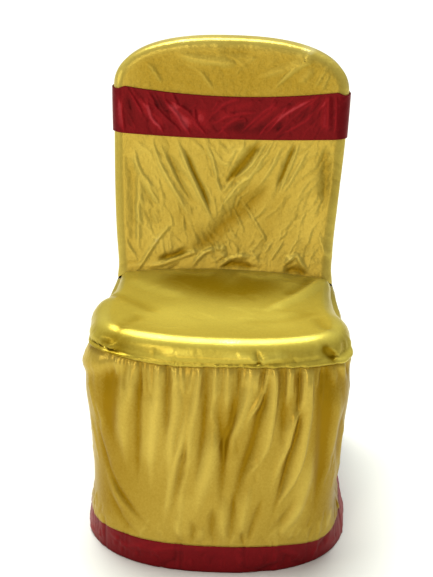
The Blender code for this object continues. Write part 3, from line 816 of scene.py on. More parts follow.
# Painted shade in the right corner's pocket and just above the seam, and painted light on a band above that.
apronPaintedShading = creaseRows([
    ([(0.18, 0.404), (0.191, 0.392), (0.206, 0.378)], 0.008, -0.6),
    ([(-0.12, 0.384), (-0.06, 0.382), (0.05, 0.38), (0.15, 0.384)], 0.006, -0.3),
    ([(-0.1, 0.392), (-0.04, 0.391)], 0.004, 0.35),
    ([(0, 0.39), (0.055, 0.389)], 0.004, 0.3),
    ([(0.09, 0.392), (0.12, 0.39)], 0.004, 0.3),
])
fineApron = scattered(33, 60, (-0.60, 0.378), (0.60, 0.402), 0.022, 0.0030, 0.0012, (80, 40))

seatSizes = {
    "across": 150, "up": 128, "turn": 0.36,
    "rollRings": 10, "apronRings": 10,
    "seamGap": 0.0015, "footTuck": 0.006, "overSkirt": 0.0003, "shadeSpan": 0.006,
}
# The painted highlight along the front of the rolled edge, and the patch of painted shade that dulls it near
# its left end.
seatPaintedHighlight = {
    "angle": 0.44, "spread": 0.34, "amount": 0.6, "sides": 0.16, "fade": 0.10,
    "paintedShadeX": -0.160, "paintedShadeReach": 0.020, "paintedShadePatch": 0.55,
}


def creaseHeight(x):
    return cover["crease"] - cover["creaseDrop"] * (x / seatSides[-1].halfWidth) ** 2


def seatRear(x):
    return backFrontY(x, cover["crease"]) - 0.001


def seatHeight(x, forward):
    rear = -seatRear(x)
    t = np.clip((forward - rear) / (seatEdge.front - rear), -0.05, 1.0)
    across = (x / seatEdge.halfWidth) ** 2
    low = creaseHeight(x)
    high = cover["seatFront"] + (cover["seatCorner"] - cover["seatFront"]) * across
    return low + (high - low) * t - cover["seatDish"] * np.sin(math.pi * t)


def cornerShare(x, forward):
    away = np.hypot(np.abs(x) - cover["cornerX"], forward - cover["cornerForward"])
    return bell(away, cover["cornerSpread"])


def seamHeight(x, forward):
    rise = np.where(x < 0, cover["seamRiseLeft"], cover["seamRiseRight"])
    sag = cover["seamSag"] * bell(x + 0.060, 0.060) * (forward > 0)
    return cover["seam"] + rise * cornerShare(x, forward) - sag


slackPart = namedtuple("slackPart", "side forward reach out up")
seatSlack = [slackPart(-1, 0.075, 0.080, 0.0170, 0.009), slackPart(1, 0.120, 0.055, 0.0085, 0.004)]


def slackEdge(x, forward):
    # The seat's cloth is fuller than the seat at its edges: how far it stands out and up.
    out, up = np.zeros(x.shape), np.zeros(x.shape)
    for part in seatSlack:
        share = bell(forward - part.forward, part.reach) * ease((part.side * x - 0.130) / 0.070)
        out += part.side * part.out * share
        up += part.up * share
    return out, up


def paintedEdgeHighlight(x, forward, angle):
    # painted highlight along the rolled edge, less a patch of painted shade near its left end
    shine = seatPaintedHighlight
    uneven = 0.8 + 0.2 * np.sin(x * 31 + 1.0) * np.sin(x * 74)
    pale = shine["amount"] * uneven * bell(angle - shine["angle"], shine["spread"])
    paintedShadePatch = shine["paintedShadePatch"] * bell(x - shine["paintedShadeX"], shine["paintedShadeReach"])
    return (pale - paintedShadePatch) * ease((forward - seatEdge.front + shine["sides"]) / shine["fade"]) * (angle > 0)


def seatPanel():
    sizes = seatSizes
    piece, (u, v, share, ring) = hoopedMesh(
        "seatCloth", sizes["across"], sizes["up"], sizes["turn"], sizes["rollRings"] + sizes["apronRings"])
    sideX = seatSides[-1].halfWidth - cover["seatRollRear"]
    top = seatPlan(float(seatRear(sideX)) + 0.004)
    apron = seatPlan(cover["apronRear"] + cover["apronTuck"])
    seam = skirtPlan(cover["seam"])
    seamStart = (cover["rearSeamToApron"] - cover["apronTuck"]) / seam.length

    def rollAt(at):
        wide = ease(np.minimum(at, 1 - at) / 0.22)
        return (cover["seatRollRear"] + (cover["seatRoll"] - cover["seatRollRear"]) * wide)[..., None]

    def edge(at):
        return top.at(at) - rollAt(at) * top.outward(at)

    def footLine(at):
        x = sideX * (2 * at - 1)
        return np.stack([x, -seatRear(x) - 0.004], axis=-1)

    flat = np.zeros((len(u), 2))
    inner = ring == 0
    outer = ~inner
    flat[inner] = hoopedFlat(edge, footLine, sizes["turn"], u[inner], v[inner])
    flat[outer] = edge(share[outer])
    roll = rollAt(share)[:, 0]
    height = seatHeight(*flat.T)
    relief = creaseRelief(seatCreases, *flat.T) + creaseRelief(fineSeat, *flat.T)
    tucked = ease((-seatRear(flat[:, 0]) + 0.004 - flat[:, 1]) / 0.010)
    height -= sizes["footTuck"] * tucked

    turned = np.clip(ring / sizes["rollRings"], 0, 1)
    angle = turned * math.pi / 2
    blend = ease(turned)[:, None]
    plan = (1 - blend) * top.at(share) + blend * apron.at(share)
    outward = (1 - blend) * top.outward(share) + blend * apron.outward(share)
    outward /= np.maximum(np.linalg.norm(outward, axis=1, keepdims=True), 1e-9)
    rolled = plan - (roll * (1 - np.sin(angle)))[:, None] * outward
    rolled[inner] = flat[inner]
    height = height - roll * (1 - np.cos(angle)) + relief * np.cos(angle)
    rolled += (relief * np.sin(angle) * (1 - 0.6 * turned))[:, None] * np.where(inner[:, None], 0.0, outward)

    out, up = slackEdge(*rolled.T)
    rolled[:, 0] += out
    height = height + up

    # Below the roll the apron drops to the gathered seam, standing out a little above it.
    drop = np.clip((ring - sizes["rollRings"]) / sizes["apronRings"], 0, 1)
    alongSeam = seamStart + (1 - 2 * seamStart) * share
    seamPlace, seamOut = seam.at(alongSeam), seam.outward(alongSeam)
    footHeight = seamHeight(*seamPlace.T) + sizes["seamGap"]
    eased = drop ** 1.15
    below = (1 - eased)[:, None] * rolled + eased[:, None] * seamPlace
    belowHeight = (1 - drop) * height + drop * footHeight
    belly = np.sin(math.pi * drop ** 1.6)
    ends = np.clip(8 * np.minimum(share, 1 - share), 0, 1)
    stand = cover["apronBulge"] * ends + cover["pouch"] * cornerShare(*seamPlace.T)
    roundSeam = (alongSeam - 0.5) * seam.length
    apronRelief = creaseRelief(apronCreases, roundSeam, belowHeight, 0.15)
    apronRelief += creaseRelief(fineApron, roundSeam, belowHeight)
    apronRelief = apronRelief * np.where(outer, ease(turned * 1.6 - 0.6), 0.0)
    gathered = cover["seamFollows"] * skirtRelief(roundSeam, footHeight)
    stand = stand * belly + apronRelief + gathered * drop ** 1.3 - cover["seamTuck"] * drop ** 12
    # near the seam it always lies over the skirt's gathered edge
    stand += ease((drop - 0.40) / 0.55) * np.maximum(gathered - sizes["overSkirt"] - stand, 0)
    below += stand[:, None] * np.where(inner[:, None], 0.0, seamOut)
    points = onCover(below[:, 0], below[:, 1], belowHeight)
    inside = onCover(0.0, 0.0, 0.15)
    lying = np.stack([below[:, 0], below[:, 1] - belowHeight], axis=-1)
    # painted shade in the seat's troughs, light on its ridges, the back's painted reflection, the edge's
    # painted highlight and the apron's painted light and shade
    paintedShading = paintedFoldShade(relief * np.cos(angle) + apronRelief, sizes["shadeSpan"])
    paintedShading += creaseRelief(seatPaintedShading, *flat.T) * np.cos(angle) + paintedEdgeHighlight(*flat.T, angle)
    paintedShading += creaseRelief(apronPaintedShading, roundSeam, belowHeight) * outer
    cloth = finishCloth(piece, points, inside, lying, paintedShading, seatGoldLitCopy)
    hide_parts("seat_panel")
    print("seat panel:", len(points), "points")


# The skirt's creases are in the distance round it from the middle of the front, and height.
skirtCreases = creaseRows([
    ([(0.3, 0.4), (0.31, 0.26), (0.32, 0.1)], 0.09, -0.006),
    ([(-0.3, 0.4), (-0.31, 0.26), (-0.32, 0.1)], 0.08, 0.003),
    # the left side
    ([(-0.6, 0.385), (-0.61, 0.2), (-0.62, 0)], 0.02, 0.005),
    ([(-0.555, 0.385), (-0.56, 0.2), (-0.57, 0)], 0.016, -0.004),
    ([(-0.51, 0.385), (-0.515, 0.2), (-0.52, 0)], 0.02, 0.005),
    ([(-0.455, 0.385), (-0.462, 0.2), (-0.47, 0)], 0.016, -0.005),
    ([(-0.415, 0.385), (-0.425, 0.2), (-0.435, 0)], 0.018, 0.006),
    ([(-0.365, 0.385), (-0.38, 0.2), (-0.39, 0)], 0.016, -0.005),
    ([(-0.33, 0.385), (-0.345, 0.2), (-0.35, 0)], 0.016, 0.005),
    ([(-0.285, 0.392), (-0.29, 0.2), (-0.3, 0.02)], 0.014, -0.005),
    ([(-0.245, 0.34), (-0.225, 0.28), (-0.215, 0.23)], 0.005, 0.004, 0, 0.6),
    ([(-0.222, 0.3), (-0.205, 0.255), (-0.21, 0.22)], 0.004, 0.004, 0, 0.7),
    ([(-0.25, 0.26), (-0.232, 0.2), (-0.225, 0.15)], 0.005, 0.0036, 0, 0.6),
    ([(-0.18, 0.392), (-0.186, 0.28), (-0.182, 0.2)], 0.013, -0.005),
    # the front, from the left
    ([(-0.132, 0.39), (-0.146, 0.331), (-0.159, 0.27), (-0.154, 0.17)], 0.01, 0.0075, 0.2),
    ([(-0.133, 0.392), (-0.134, 0.25), (-0.135, 0.14)], 0.007, -0.0065),
    ([(-0.096, 0.392), (-0.104, 0.284), (-0.11, 0.2), (-0.107, 0.13)], 0.0075, 0.0062),
    ([(-0.087, 0.392), (-0.085, 0.3), (-0.086, 0.22)], 0.006, -0.0055),
    ([(-0.075, 0.392), (-0.068, 0.31), (-0.077, 0.244), (-0.078, 0.14)], 0.007, 0.0058),
    ([(-0.062, 0.375), (-0.058, 0.335), (-0.052, 0.312)], 0.0035, 0.0036, 0, 0.5),
    ([(-0.04, 0.375), (-0.046, 0.335), (-0.052, 0.312)], 0.0035, 0.0036, 0, 0.5),
    ([(-0.052, 0.325), (-0.053, 0.29), (-0.06, 0.24), (-0.068, 0.205), (-0.078, 0.145), (-0.09, 0.06)],
     0.006, 0.008, -0.45, 0.7),
    ([(-0.044, 0.29), (-0.052, 0.225), (-0.064, 0.16), (-0.076, 0.09)], 0.0065, -0.0068),
    ([(-0.026, 0.39), (-0.036, 0.31), (-0.045, 0.25), (-0.046, 0.194), (-0.052, 0.15)],
     0.006, 0.0062, 0.1, 0.3),
    ([(-0.044, 0.2), (-0.056, 0.145), (-0.058, 0.08)], 0.0045, 0.0045, 0, 0.7),
    ([(-0.022, 0.392), (-0.022, 0.26), (-0.036, 0.15)], 0.0065, -0.0068),
    ([(0, 0.29), (-0.008, 0.215), (-0.022, 0.155), (-0.034, 0.095)], 0.011, 0.008),
    ([(-0.003, 0.392), (-0.006, 0.32), (-0.008, 0.285), (0.002, 0.262), (0.012, 0.238)],
     0.0035, 0.0042, 0, 0.8),
    ([(0.002, 0.33), (0.006, 0.27), (0.012, 0.21), (0.01, 0.11)], 0.008, -0.008),
    ([(0.018, 0.392), (0.018, 0.335), (0.016, 0.285)], 0.0055, 0.0046),
    ([(0.036, 0.392), (0.028, 0.285), (0.015, 0.236), (0.016, 0.16)], 0.006, -0.0062),
    ([(0.058, 0.392), (0.052, 0.33), (0.04, 0.285), (0.029, 0.25), (0.026, 0.2)],
     0.0065, 0.0078, -0.2, 0.3),
    ([(0.07, 0.39), (0.063, 0.32)], 0.0035, 0.004, 0, 0.5),
    ([(0.086, 0.372), (0.074, 0.32), (0.058, 0.292), (0.046, 0.262)], 0.0055, 0.0066, 0, 0.3),
    ([(0.078, 0.392), (0.08, 0.33), (0.07, 0.28), (0.06, 0.235), (0.042, 0.17), (0.03, 0.09)],
     0.0085, -0.008),
    ([(0.088, 0.392), (0.098, 0.347), (0.096, 0.3), (0.089, 0.24), (0.076, 0.208), (0.058, 0.178)],
     0.006, 0.0085, 0.35, 0.7),
    ([(0.058, 0.208), (0.072, 0.204), (0.058, 0.185)], 0.0035, 0.004, 0, 0.7),
    ([(0.108, 0.392), (0.112, 0.29), (0.11, 0.225)], 0.0085, -0.0062),
    ([(0.124, 0.392), (0.12, 0.34), (0.116, 0.3)], 0.0055, 0.0048),
    ([(0.151, 0.392), (0.147, 0.317), (0.13, 0.272), (0.121, 0.232), (0.108, 0.196), (0.094, 0.14)],
     0.0065, 0.0078, 0, 0.4),
    ([(0.156, 0.375), (0.158, 0.31), (0.155, 0.265), (0.148, 0.205), (0.134, 0.165), (0.114, 0.133),
      (0.094, 0.09)], 0.0065, 0.0085, 0.35, 0.6),
    ([(0.136, 0.392), (0.139, 0.32), (0.139, 0.262), (0.127, 0.208), (0.113, 0.15), (0.09, 0.07)],
     0.0065, -0.0078),
    ([(0.178, 0.392), (0.184, 0.26), (0.188, 0.17), (0.176, 0.08)], 0.012, -0.0062),
    ([(0.168, 0.23), (0.16, 0.16), (0.142, 0.105), (0.108, 0.055)], 0.011, 0.008, 0.2),
    ([(0.15, 0.15), (0.125, 0.105), (0.09, 0.07)], 0.006, -0.005),
    ([(0.21, 0.35), (0.214, 0.26), (0.21, 0.15)], 0.011, 0.0056),
    # where it falls in towards the hem
    ([(-0.222, 0.26), (-0.205, 0.19), (-0.18, 0.14), (-0.14, 0.1), (-0.095, 0.058)], 0.006, -0.006, 0, 0.3),
    ([(-0.21, 0.2), (-0.175, 0.12), (-0.13, 0.08)], 0.008, 0.0034),
    ([(-0.2, 0.13), (-0.16, 0.075), (-0.12, 0.05)], 0.006, -0.0034),
    ([(-0.058, 0.11), (-0.062, 0.08), (-0.052, 0.052)], 0.0045, 0.0046, 0, 0.4),
    ([(-0.04, 0.1), (-0.034, 0.075), (-0.04, 0.05)], 0.005, -0.0052),
    ([(-0.02, 0.09), (-0.024, 0.055)], 0.0045, 0.0042),
    ([(0, 0.13), (-0.002, 0.085), (0.004, 0.045)], 0.007, -0.006),
    ([(0.016, 0.15), (0.016, 0.095), (0.02, 0.045)], 0.007, 0.0055),
    ([(0.034, 0.16), (0.032, 0.11), (0.03, 0.05)], 0.006, -0.006),
    ([(0.062, 0.17), (0.052, 0.12), (0.046, 0.055)], 0.007, 0.006, 0, 0.3),
    ([(0.086, 0.15), (0.07, 0.1), (0.06, 0.05)], 0.0055, -0.005),
    # the right side
    ([(0.206, 0.392), (0.216, 0.365), (0.236, 0.33)], 0.007, 0.006, 0, 0.3),
    ([(0.222, 0.392), (0.236, 0.355), (0.25, 0.33)], 0.006, -0.005),
    ([(0.196, 0.392), (0.2, 0.355), (0.206, 0.325)], 0.005, 0.004, 0, 0.3),
    ([(0.24, 0.3), (0.236, 0.23), (0.246, 0.15)], 0.01, -0.005),
    ([(0.262, 0.28), (0.258, 0.2), (0.268, 0.11)], 0.006, 0.0048, 0, 0.4),
    ([(0.285, 0.34), (0.29, 0.2), (0.3, 0.06)], 0.012, 0.005),
    ([(0.325, 0.385), (0.33, 0.2), (0.34, 0)], 0.016, -0.005),
    ([(0.37, 0.385), (0.378, 0.2), (0.385, 0)], 0.018, 0.006),
    ([(0.42, 0.385), (0.425, 0.2), (0.432, 0)], 0.016, -0.005),
    ([(0.47, 0.385), (0.476, 0.2), (0.48, 0)], 0.02, 0.0055),
    ([(0.525, 0.385), (0.53, 0.2), (0.535, 0)], 0.016, -0.0045),
    ([(0.575, 0.385), (0.582, 0.2), (0.59, 0)], 0.02, 0.005),
    # the slack that hangs over the seam's ends at the two front corners
    ([(-0.15, 0.374), (-0.21, 0.355), (-0.27, 0.34), (-0.36, 0.344)], 0.018, 0.01, 0.3),
    ([(0.2, 0.382), (0.24, 0.368), (0.29, 0.36), (0.35, 0.366)], 0.014, 0.0075),
])

# Painted shade down the two front corners and in a hollow at the front, painted light on some ridges.
skirtPaintedShading = creaseRows([
    ([(-0.22, 0.43), (-0.2, 0.23), (-0.2, 0.02)], 0.06, -0.3),
    ([(0.19, 0.42), (0.2, 0.23), (0.19, 0.02)], 0.035, -0.26),
    ([(0.3, 0.23), (0.29, 0.14), (0.275, 0.06)], 0.012, 0.4),
    ([(0.24, 0.085), (0.215, 0.055)], 0.007, 0.4),
    ([(0.16, 0.13), (0.13, 0.085), (0.09, 0.065)], 0.02, 0.2),
    ([(-0.11, 0.33), (-0.12, 0.18)], 0.018, 0.22),
    ([(-0.04, 0.15), (-0.06, 0.06)], 0.02, 0.18),
    ([(0.03, 0.33), (0.02, 0.2)], 0.014, -0.2),
])

skirtSizes = {
    "across": 500, "down": 84,
    "gathersSeed": 5, "gatherPitch": (0.0060, 0.0170),
    "lostInBorder": 0.5,
    "overBorder": [(0.200, 0.060, 0.0090), (-0.235, 0.040, 0.0040)],
    "tone": -0.25,
    "shadeSpan": 0.0085,
    # drawn in above the border round the two sides, with the hem swung out along the right side
    "waist": {"height": 0.088, "reach": 0.052, "from": 0.20, "fade": 0.10, "right": 0.0105, "left": 0.0030},
    "swing": {"at": 0.40, "along": 0.12, "out": 0.0065, "up": 0.055},
    # the folds that start at the seam, and the free ones below it
    "seamFolds": {"size": 0.8, "start": 0.12, "finish": 0.40},
    "freeFolds": {"size": 0.65, "start": 0.36, "finish": 0.40},
    "overSeam": 0.0018,      # how far its top goes up behind the apron's edge
    "seamReach": 0.011,      # it is drawn in over this height below the seam
    "proud": 0.0008,
}
seamCreases = [crease for crease in skirtCreases if crease.path[0][1] > 0.37]
freeCreases = [crease for crease in skirtCreases if crease.path[0][1] <= 0.37]


def gathers():
    rng = np.random.default_rng(skirtSizes["gathersSeed"])
    creases = []
    at = -0.74
    while at < 0.74:
        size = rng.uniform(0.5, 1.2) * (1 - 0.7 * ease((abs(at) - 0.17) / 0.04))
        fall = rng.uniform(0.030, 0.085)
        drift = rng.uniform(-0.006, 0.006) - 0.02 * at * fall / 0.06
        creases.append(Crease([(at, 0.400), (at + 0.3 * drift, 0.372), (at + drift, 0.372 - fall)],
                              0.0010 + 0.0018 * size, 0.0028 * size, rng.uniform(-0.3, 0.3), 0.4))
        at += rng.uniform(*skirtSizes["gatherPitch"])
    return creases


fineSkirt = (
    gathers()
    + scattered(41, 90, (-0.70, 0.08), (0.70, 0.34), 0.070, 0.0040, 0.0011, (88, 22))
    + scattered(42, 70, (-0.35, 0.050), (0.35, 0.085), 0.035, 0.0035, 0.0017, (85, 35))
)


def skirtRelief(roundIt, height):
    above = np.maximum(height, borderHeight)
    relief = creaseRelief(fineSkirt, roundIt, above)
    for creases, word in ((seamCreases, "seamFolds"), (freeCreases, "freeFolds")):
        folds = skirtSizes[word]
        relief += folds["size"] * creaseRelief(creases, roundIt, above, folds["start"], folds["finish"])
    lost = skirtSizes["lostInBorder"] * np.clip(1 - height / borderHeight, 0, 1)
    return relief * (1 - lost)


def skirtPlace(share, height):
    roundIt = roundSkirt(share, height)
    ends = np.clip(14 * np.minimum(share, 1 - share), 0, 1)
    waist, swing = skirtSizes["waist"], skirtSizes["swing"]
    drawnIn = np.where(roundIt > 0, waist["right"], waist["left"])
    drawnIn = drawnIn * bell(height - waist["height"], waist["reach"])
    drawnIn *= ease((np.abs(roundIt) - waist["from"]) / waist["fade"]) * ends
    swungOut = swing["out"] * bell(roundIt - swing["at"], swing["along"]) * bell(height, swing["up"])
    relief = skirtRelief(roundIt, height) * ends - drawnIn + swungOut
    place = betweenPlans(planPoints, share, height)
    outward = betweenPlans(planOutward, share, height)
    return place, outward, relief, roundIt


def skirt():
    piece, u, v = gridMesh("skirtCloth", skirtSizes["across"], skirtSizes["down"])
    x, forward = betweenPlans(planPoints, u, np.full(len(u), cover["seam"])).T
    top = seamHeight(x, forward) + skirtSizes["overSeam"]
    roundHem = roundSkirt(u, np.full(len(u), borderHeight))
    over = sum(amount * bell(roundHem - at, reach) for at, reach, amount in skirtSizes["overBorder"])
    height = top + (borderHeight + 0.0004 - over - top) * v
    place, outward, relief, roundIt = skirtPlace(u, height)
    relief += (0.0003 + 0.15 * over) * v ** 12
    atSeam = 1 - ease((top - height) / skirtSizes["seamReach"])
    relief = relief * (1 - (1 - cover["seamFollows"]) * atSeam) + skirtSizes["proud"] * (1 - 2 * atSeam)
    place += relief[:, None] * outward
    points = onCover(place[:, 0], place[:, 1], height)
    inside = onCover(0.0, 0.0, 0.15)
    # painted shade in the skirt's troughs and at its corners, painted light on its ridges; the whole is set
    # a little deeper
    paintedShading = paintedFoldShade(relief, skirtSizes["shadeSpan"]) + creaseRelief(skirtPaintedShading, roundIt, height)
    paintedShading += skirtSizes["tone"]
    flat = np.stack([roundIt, height], axis=-1)
    cloth = finishCloth(piece, points, inside, flat, paintedShading, gold)
    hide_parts("skirt")
    print("skirt:", len(points), "points")


borderSizes = {"across": 640, "down": 16, "frontShare": 0.75, "shadeSpan": 0.005}
fineBorder = (
    scattered(51, 120, (-0.70, 0.012), (0.70, 0.050), 0.026, 0.0034, 0.0016, (88, 30))
    + scattered(52, 40, (-0.60, 0.005), (0.60, 0.045), 0.060, 0.0050, 0.0016, (5, 30))
)


def hemBorder():
    sizes = borderSizes
    piece, u, v = gridMesh("hemBorderCloth", sizes["across"], sizes["down"])
    height = borderHeight * (1 - v)
    inFront = u <= sizes["frontShare"]
    share = np.clip(u / sizes["frontShare"], 0, 1)
    place, outward, relief, roundIt = skirtPlace(share, height)
    relief = relief + creaseRelief(fineBorder, roundIt, height)
    seamed = ease((borderHeight - height) / 0.004)
    relief += 0.0006 * seamed
    place = place + relief[:, None] * outward
    across = 1 - 2 * np.clip((u - sizes["frontShare"]) / (1 - sizes["frontShare"]), 0, 1)
    halfWidth = readRows(backRows, "rearHalfWidth", height)
    xRear = halfWidth * across
    inset = ease((1 - np.abs(across)) / 0.18)
    rearWave = rearRelief(xRear, np.maximum(height, borderHeight)) * inset
    yRear = readRows(backRows, "rear", height) + rearWave
    place = np.where(inFront[:, None], place, np.stack([xRear, -yRear], axis=-1))
    points = onCover(place[:, 0], place[:, 1], height)
    inside = onCover(0.0, 0.0, 0.025)
    # painted shade in the border's troughs, painted light on its ridges
    paintedShading = paintedFoldShade(np.where(inFront, relief, rearWave), sizes["shadeSpan"])
    cloth = finishCloth(piece, points, inside, np.stack([u * 1.95, height], axis=-1), paintedShading,
                        maroon, closed=True)
    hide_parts("hem_border")
    print("hem border:", len(points), "points")


sashCreases = creaseRows([
    ([(-0.196, 0.74), (-0.178, 0.71), (-0.168, 0.69)], 0.0022, 0.0016, 0, 0.6),
    ([(-0.214, 0.725), (-0.21, 0.69), (-0.206, 0.66)], 0.003, 0.0016, 0, 0.4),
    ([(-0.16, 0.722), (-0.153, 0.69), (-0.136, 0.672), (-0.126, 0.655)], 0.0024, 0.0014, 0, 0.6),
    ([(-0.155, 0.72), (-0.125, 0.69), (-0.102, 0.67), (-0.094, 0.656)], 0.0022, 0.0014, 0, 0.6),
    ([(-0.134, 0.728), (-0.106, 0.7), (-0.092, 0.678), (-0.072, 0.654)], 0.003, 0.0016, 0, 0.4),
    ([(-0.118, 0.722), (-0.078, 0.698), (-0.06, 0.664)], 0.003, 0.0014, 0, 0.5),
    ([(-0.072, 0.714), (-0.064, 0.68), (-0.044, 0.656)], 0.0026, 0.0013, 0, 0.5),
    ([(-0.036, 0.696), (-0.012, 0.718), (0.024, 0.732)], 0.0026, 0.0013, 0, 0.5),
    ([(-0.032, 0.68), (0, 0.697), (0.055, 0.706)], 0.0028, 0.0014, 0, 0.5),
    ([(-0.025, 0.658), (0.002, 0.685), (0.032, 0.695)], 0.0026, 0.0013, 0, 0.5),
    ([(0.018, 0.662), (0.053, 0.696), (0.078, 0.716), (0.098, 0.73)], 0.0024, 0.0014, 0, 0.6),
    ([(0.054, 0.658), (0.075, 0.684), (0.117, 0.721)], 0.0022, 0.0014, 0, 0.7),
    ([(0.066, 0.66), (0.107, 0.704), (0.172, 0.742)], 0.0022, 0.0014, 0, 0.7),
    ([(0.086, 0.66), (0.129, 0.705), (0.164, 0.734)], 0.0022, 0.0014, 0, 0.7),
    ([(0.098, 0.664), (0.142, 0.69), (0.164, 0.712)], 0.0022, 0.0013, 0, 0.7),
    ([(0.186, 0.745), (0.188, 0.7), (0.186, 0.672)], 0.007, 0.002),
    ([(0.201, 0.745), (0.203, 0.7), (0.202, 0.668)], 0.0022, 0.0014, 0, 0.6),
    ([(-0.15, 0.7), (-0.09, 0.685), (-0.03, 0.705)], 0.012, 0.0008),
    ([(0, 0.672), (0.06, 0.676), (0.11, 0.69)], 0.01, -0.0006),
])
# Painted highlights on the sash's ridges and painted shade between them.
sashPaintedShading = creaseRows([
    ([(-0.215, 0.735), (-0.212, 0.665)], 0.006, 0.4),
    ([(-0.2, 0.738), (-0.19, 0.665)], 0.008, -0.35),
    ([(-0.176, 0.728), (-0.15, 0.69), (-0.128, 0.662)], 0.01, 0.55),
    ([(-0.15, 0.73), (-0.118, 0.69), (-0.1, 0.665)], 0.009, -0.45),
    ([(-0.124, 0.724), (-0.092, 0.69), (-0.074, 0.662)], 0.008, 0.6),
    ([(-0.098, 0.716), (-0.06, 0.69)], 0.008, -0.35),
    ([(-0.07, 0.708), (-0.04, 0.664)], 0.009, 0.35),
    ([(-0.03, 0.69), (0.01, 0.712), (0.05, 0.722)], 0.007, 0.35),
    ([(-0.01, 0.668), (0.04, 0.69)], 0.007, -0.3),
    ([(0.03, 0.664), (0.078, 0.708), (0.1, 0.726)], 0.004, 0.45),
    ([(0.06, 0.662), (0.1, 0.7), (0.16, 0.738)], 0.004, 0.5),
    ([(0.08, 0.662), (0.12, 0.694), (0.16, 0.726)], 0.006, -0.35),
    ([(0.176, 0.742), (0.18, 0.67)], 0.006, 0.35),
    ([(0.192, 0.742), (0.194, 0.67)], 0.006, -0.35),
])
fineSash = (
    scattered(61, 50, (-0.12, 0.665), (0.12, 0.730), 0.032, 0.0020, 0.0006, (20, 80), 0.5)
    + scattered(62, 34, (-0.22, 0.668), (-0.10, 0.740), 0.050, 0.0018, 0.0006, (-62, 18), 0.5)
    + scattered(63, 34, (0.10, 0.668), (0.22, 0.740), 0.060, 0.0018, 0.0006, (54, 12), 0.5)
)
sashSizes = {
    "top": 0.752, "foot": 0.661, "topSag": 0.019, "footSag": 0.009,
    "clear": 0.0034, "sideDrop": 0.008, "heldY": 0.235, "down": 40,
    "front": 190, "turn": 10, "side": 14, "rear": 50,
    "creaseSize": 1.3, "hem": 0.0007, "rearWave": 0.0016, "shadeSpan": 0.0014,
}


def sash():
    sizes = sashSizes
    clear, roll = sizes["clear"], cover["backRoll"]
    turned = roll + clear
    # Half of the band's stations, from the middle of the front round the right side to the rear.
    half = ([("front", t) for t in np.linspace(0, 1, sizes["front"] // 2 + 1)]
            + [("turn", t) for t in np.linspace(0, 1, sizes["turn"] + 1)[1:]]
            + [("side", t) for t in np.linspace(0, 1, sizes["side"] + 1)[1:]]
            + [("rear", t) for t in np.linspace(0, 1, sizes["rear"] // 2 + 1)[1:]])
    stations = [(kind, t, -1) for kind, t in half[::-1]] + [(kind, t, 1) for kind, t in half[1:]]
    piece, u, v = gridMesh("sashCloth", len(stations) - 1, sizes["down"])
    column = np.round(u * (len(stations) - 1)).astype(int)
    height = sizes["top"] + (sizes["foot"] - sizes["top"]) * v
    halfWidth = readRows(backRows, "halfWidth", height)
    flatHalf = halfWidth - roll
    rearHalf = readRows(backRows, "rearHalfWidth", height) + clear
    rear = readRows(backRows, "rear", height) + cover["clothThickness"] + clear
    kinds = np.array([kind for kind, _, _ in stations])[column]
    t = np.array([t for _, t, _ in stations])[column]
    sign = np.array([side for _, _, side in stations])[column]
    atFront = backFrontY(flatHalf, height) - clear
    angle = t * math.pi / 2
    x = np.select([kinds == "front", kinds == "turn", kinds == "side"],
                  [flatHalf * t, flatHalf + turned * np.sin(angle),
                   (1 - t) * (flatHalf + turned) + t * rearHalf], rearHalf * (1 - t))
    y = np.select([kinds == "front", kinds == "turn", kinds == "side"],
                  [backFrontY(flatHalf * t, height) - clear, atFront + turned * (1 - np.cos(angle)),
                   (1 - t) * (atFront + turned) + t * rear], rear)
    x = x * sign
    sag = sizes["topSag"] + (sizes["footSag"] - sizes["topSag"]) * v
    loose = np.clip((sizes["heldY"] - y) / 0.02, 0, 1)
    drooped = height - sag * (1 - (x / backRows[-1].halfWidth) ** 2) * loose
    drooped -= sizes["sideDrop"] * ease((np.abs(x) - flatHalf + 0.006) / 0.02) * (1 - v)
    y = y + (backFrontY(x, drooped) - backFrontY(x, height)) * loose
    inFront = (kinds == "front") | (kinds == "turn")
    relief = sizes["creaseSize"] * creaseRelief(sashCreases, x, drooped)
    relief += creaseRelief(fineSash, x, drooped)
    relief = relief * np.where(inFront, np.where(kinds == "turn", np.cos(angle), 1.0), 0.0)
    hem = sizes["hem"] * (ease(1 - v * 30) + ease(1 - (1 - v) * 30))
    y = y - relief - hem * np.where(inFront, 1.0, 0.0)
    rearWave = sizes["rearWave"] * np.sin(x * 55 + 2.5 * v) * (kinds == "rear")
    points = onCover(x, -(y + np.abs(rearWave)), drooped)
    inside = onCover(0.0, -0.235, 0.7)
    # painted highlights on the sash's ridges and painted shade between them, on its front
    paintedShading = paintedFoldShade(relief, sizes["shadeSpan"]) + creaseRelief(sashPaintedShading, x, drooped) * inFront
    cloth = finishCloth(piece, points, inside, np.stack([u * 0.99, drooped], axis=-1), paintedShading,
                        maroon, closed=True)
    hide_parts("sash")
    print("sash:", len(points), "points")


backFrontPanel()
backRearPanel()
seatPanel()
skirt()
hemBorder()
sash()

studio = {
    "floor": (0.82, 0.81, 0.79, 1.0),
    "world": (0.95, 0.97, 1.0, 1.0),
    "worldStrength": 0.30,
    "sun": {"strength": 4.3, "softness": 36, "tilt": (-20, -6), "colour": (0.95, 1.0, 0.94)},
    "lights": [
        # name, place from the floor under the seat (x, y, z), size, power, colour
        ("front", (-0.3, -2.4, 0.9), 0.9, 8.5, (1.0, 0.85, 0.60)),
        ("high front", (-0.6, -2.0, 2.0), 0.5, 9.0, (1.0, 0.93, 0.78)),
        ("left", (-2.0, -1.1, 1.3), 0.6, 7.0, (1.0, 0.97, 0.88)),
    ],
}


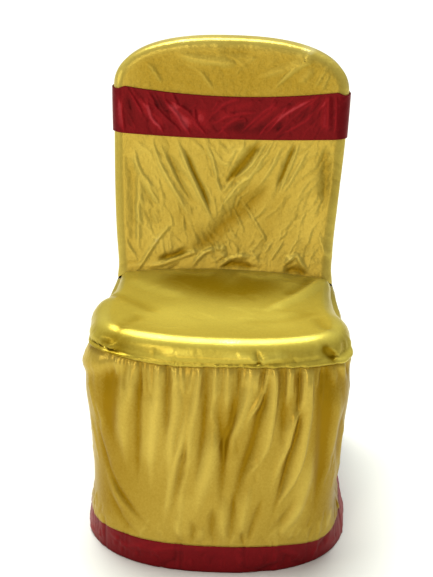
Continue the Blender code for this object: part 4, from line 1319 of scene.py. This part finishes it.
def layFloor():
    bm = bmesh.new()
    bmesh.ops.create_grid(bm, x_segments=8, y_segments=8, size=9.0)
    bmesh.ops.translate(bm, verts=bm.verts, vec=(0, 0, floorZ - 0.0005))
    ground = meshPiece("floor", bm)
    look = Look("pale floor")
    place = look.node("ShaderNodeTexCoord", {}, {}, out="Object")
    mottle = look.node("ShaderNodeTexNoise", {}, {"Vector": place, "Scale": 3.0})
    ground.data.materials.append(look.finish({
        "Base Color": studio["floor"], "Roughness": mottle * 0.1 + 0.75}))


def hangLights():
    target = Vector(onCover(0.0, 0.0, 0.45))
    for name, place, size, power, colour in studio["lights"]:
        light = bpy.data.lights.new(name, "AREA")
        light.size, light.energy, light.color = size, power, colour
        lamp = linked(name, light)
        lamp.location = Vector(onCover(place[0], -place[1], place[2]))
        lamp.rotation_euler = (target - lamp.location).to_track_quat("-Z", "Y").to_euler()
    sun = bpy.data.lights.new("overhead", "SUN")
    sun.energy, sun.color = studio["sun"]["strength"], studio["sun"]["colour"]
    sun.angle = math.radians(studio["sun"]["softness"])
    hung = linked("overhead", sun)
    hung.location = Vector(onCover(0.0, 0.0, 3.0))
    hung.rotation_euler = [math.radians(angle) for angle in (*studio["sun"]["tilt"], 0)]
    world = bpy.data.worlds.new("studio")
    bpy.context.scene.world = world
    world.use_nodes = True
    background = world.node_tree.nodes["Background"]
    background.inputs["Color"].default_value = studio["world"]
    background.inputs["Strength"].default_value = studio["worldStrength"]
    bpy.context.scene.view_settings.view_transform = "Standard"


view = {
    "place": (0.0386, -2.0997, 1.2083),    # from the floor under the middle of the seat
    "turn": 1.4, "down": 20.67, "roll": 1.57,    # degrees
    "lens": 75.5, "sensorHeight": 36.0,
}


def placeCamera():
    camera = bpy.data.cameras.new("camera")
    camera.sensor_fit = "VERTICAL"
    camera.sensor_height = view["sensorHeight"]
    camera.lens = view["lens"]
    holder = linked("camera", camera)
    x, y, z = view["place"]
    holder.location = Vector(onCover(x, -y, z))
    down, turn = math.radians(view["down"]), math.radians(view["turn"])
    ahead = Matrix.Rotation(turn, 3, "Z") @ Vector((0, math.cos(down), -math.sin(down)))
    level = ahead.to_track_quat("-Z", "Y").to_matrix()
    holder.rotation_euler = (level @ Matrix.Rotation(math.radians(view["roll"]), 3, "Z")).to_euler()
    bpy.context.scene.camera = holder


layFloor()
hangLights()
placeCamera()

print("chair cover: the scene is ready")
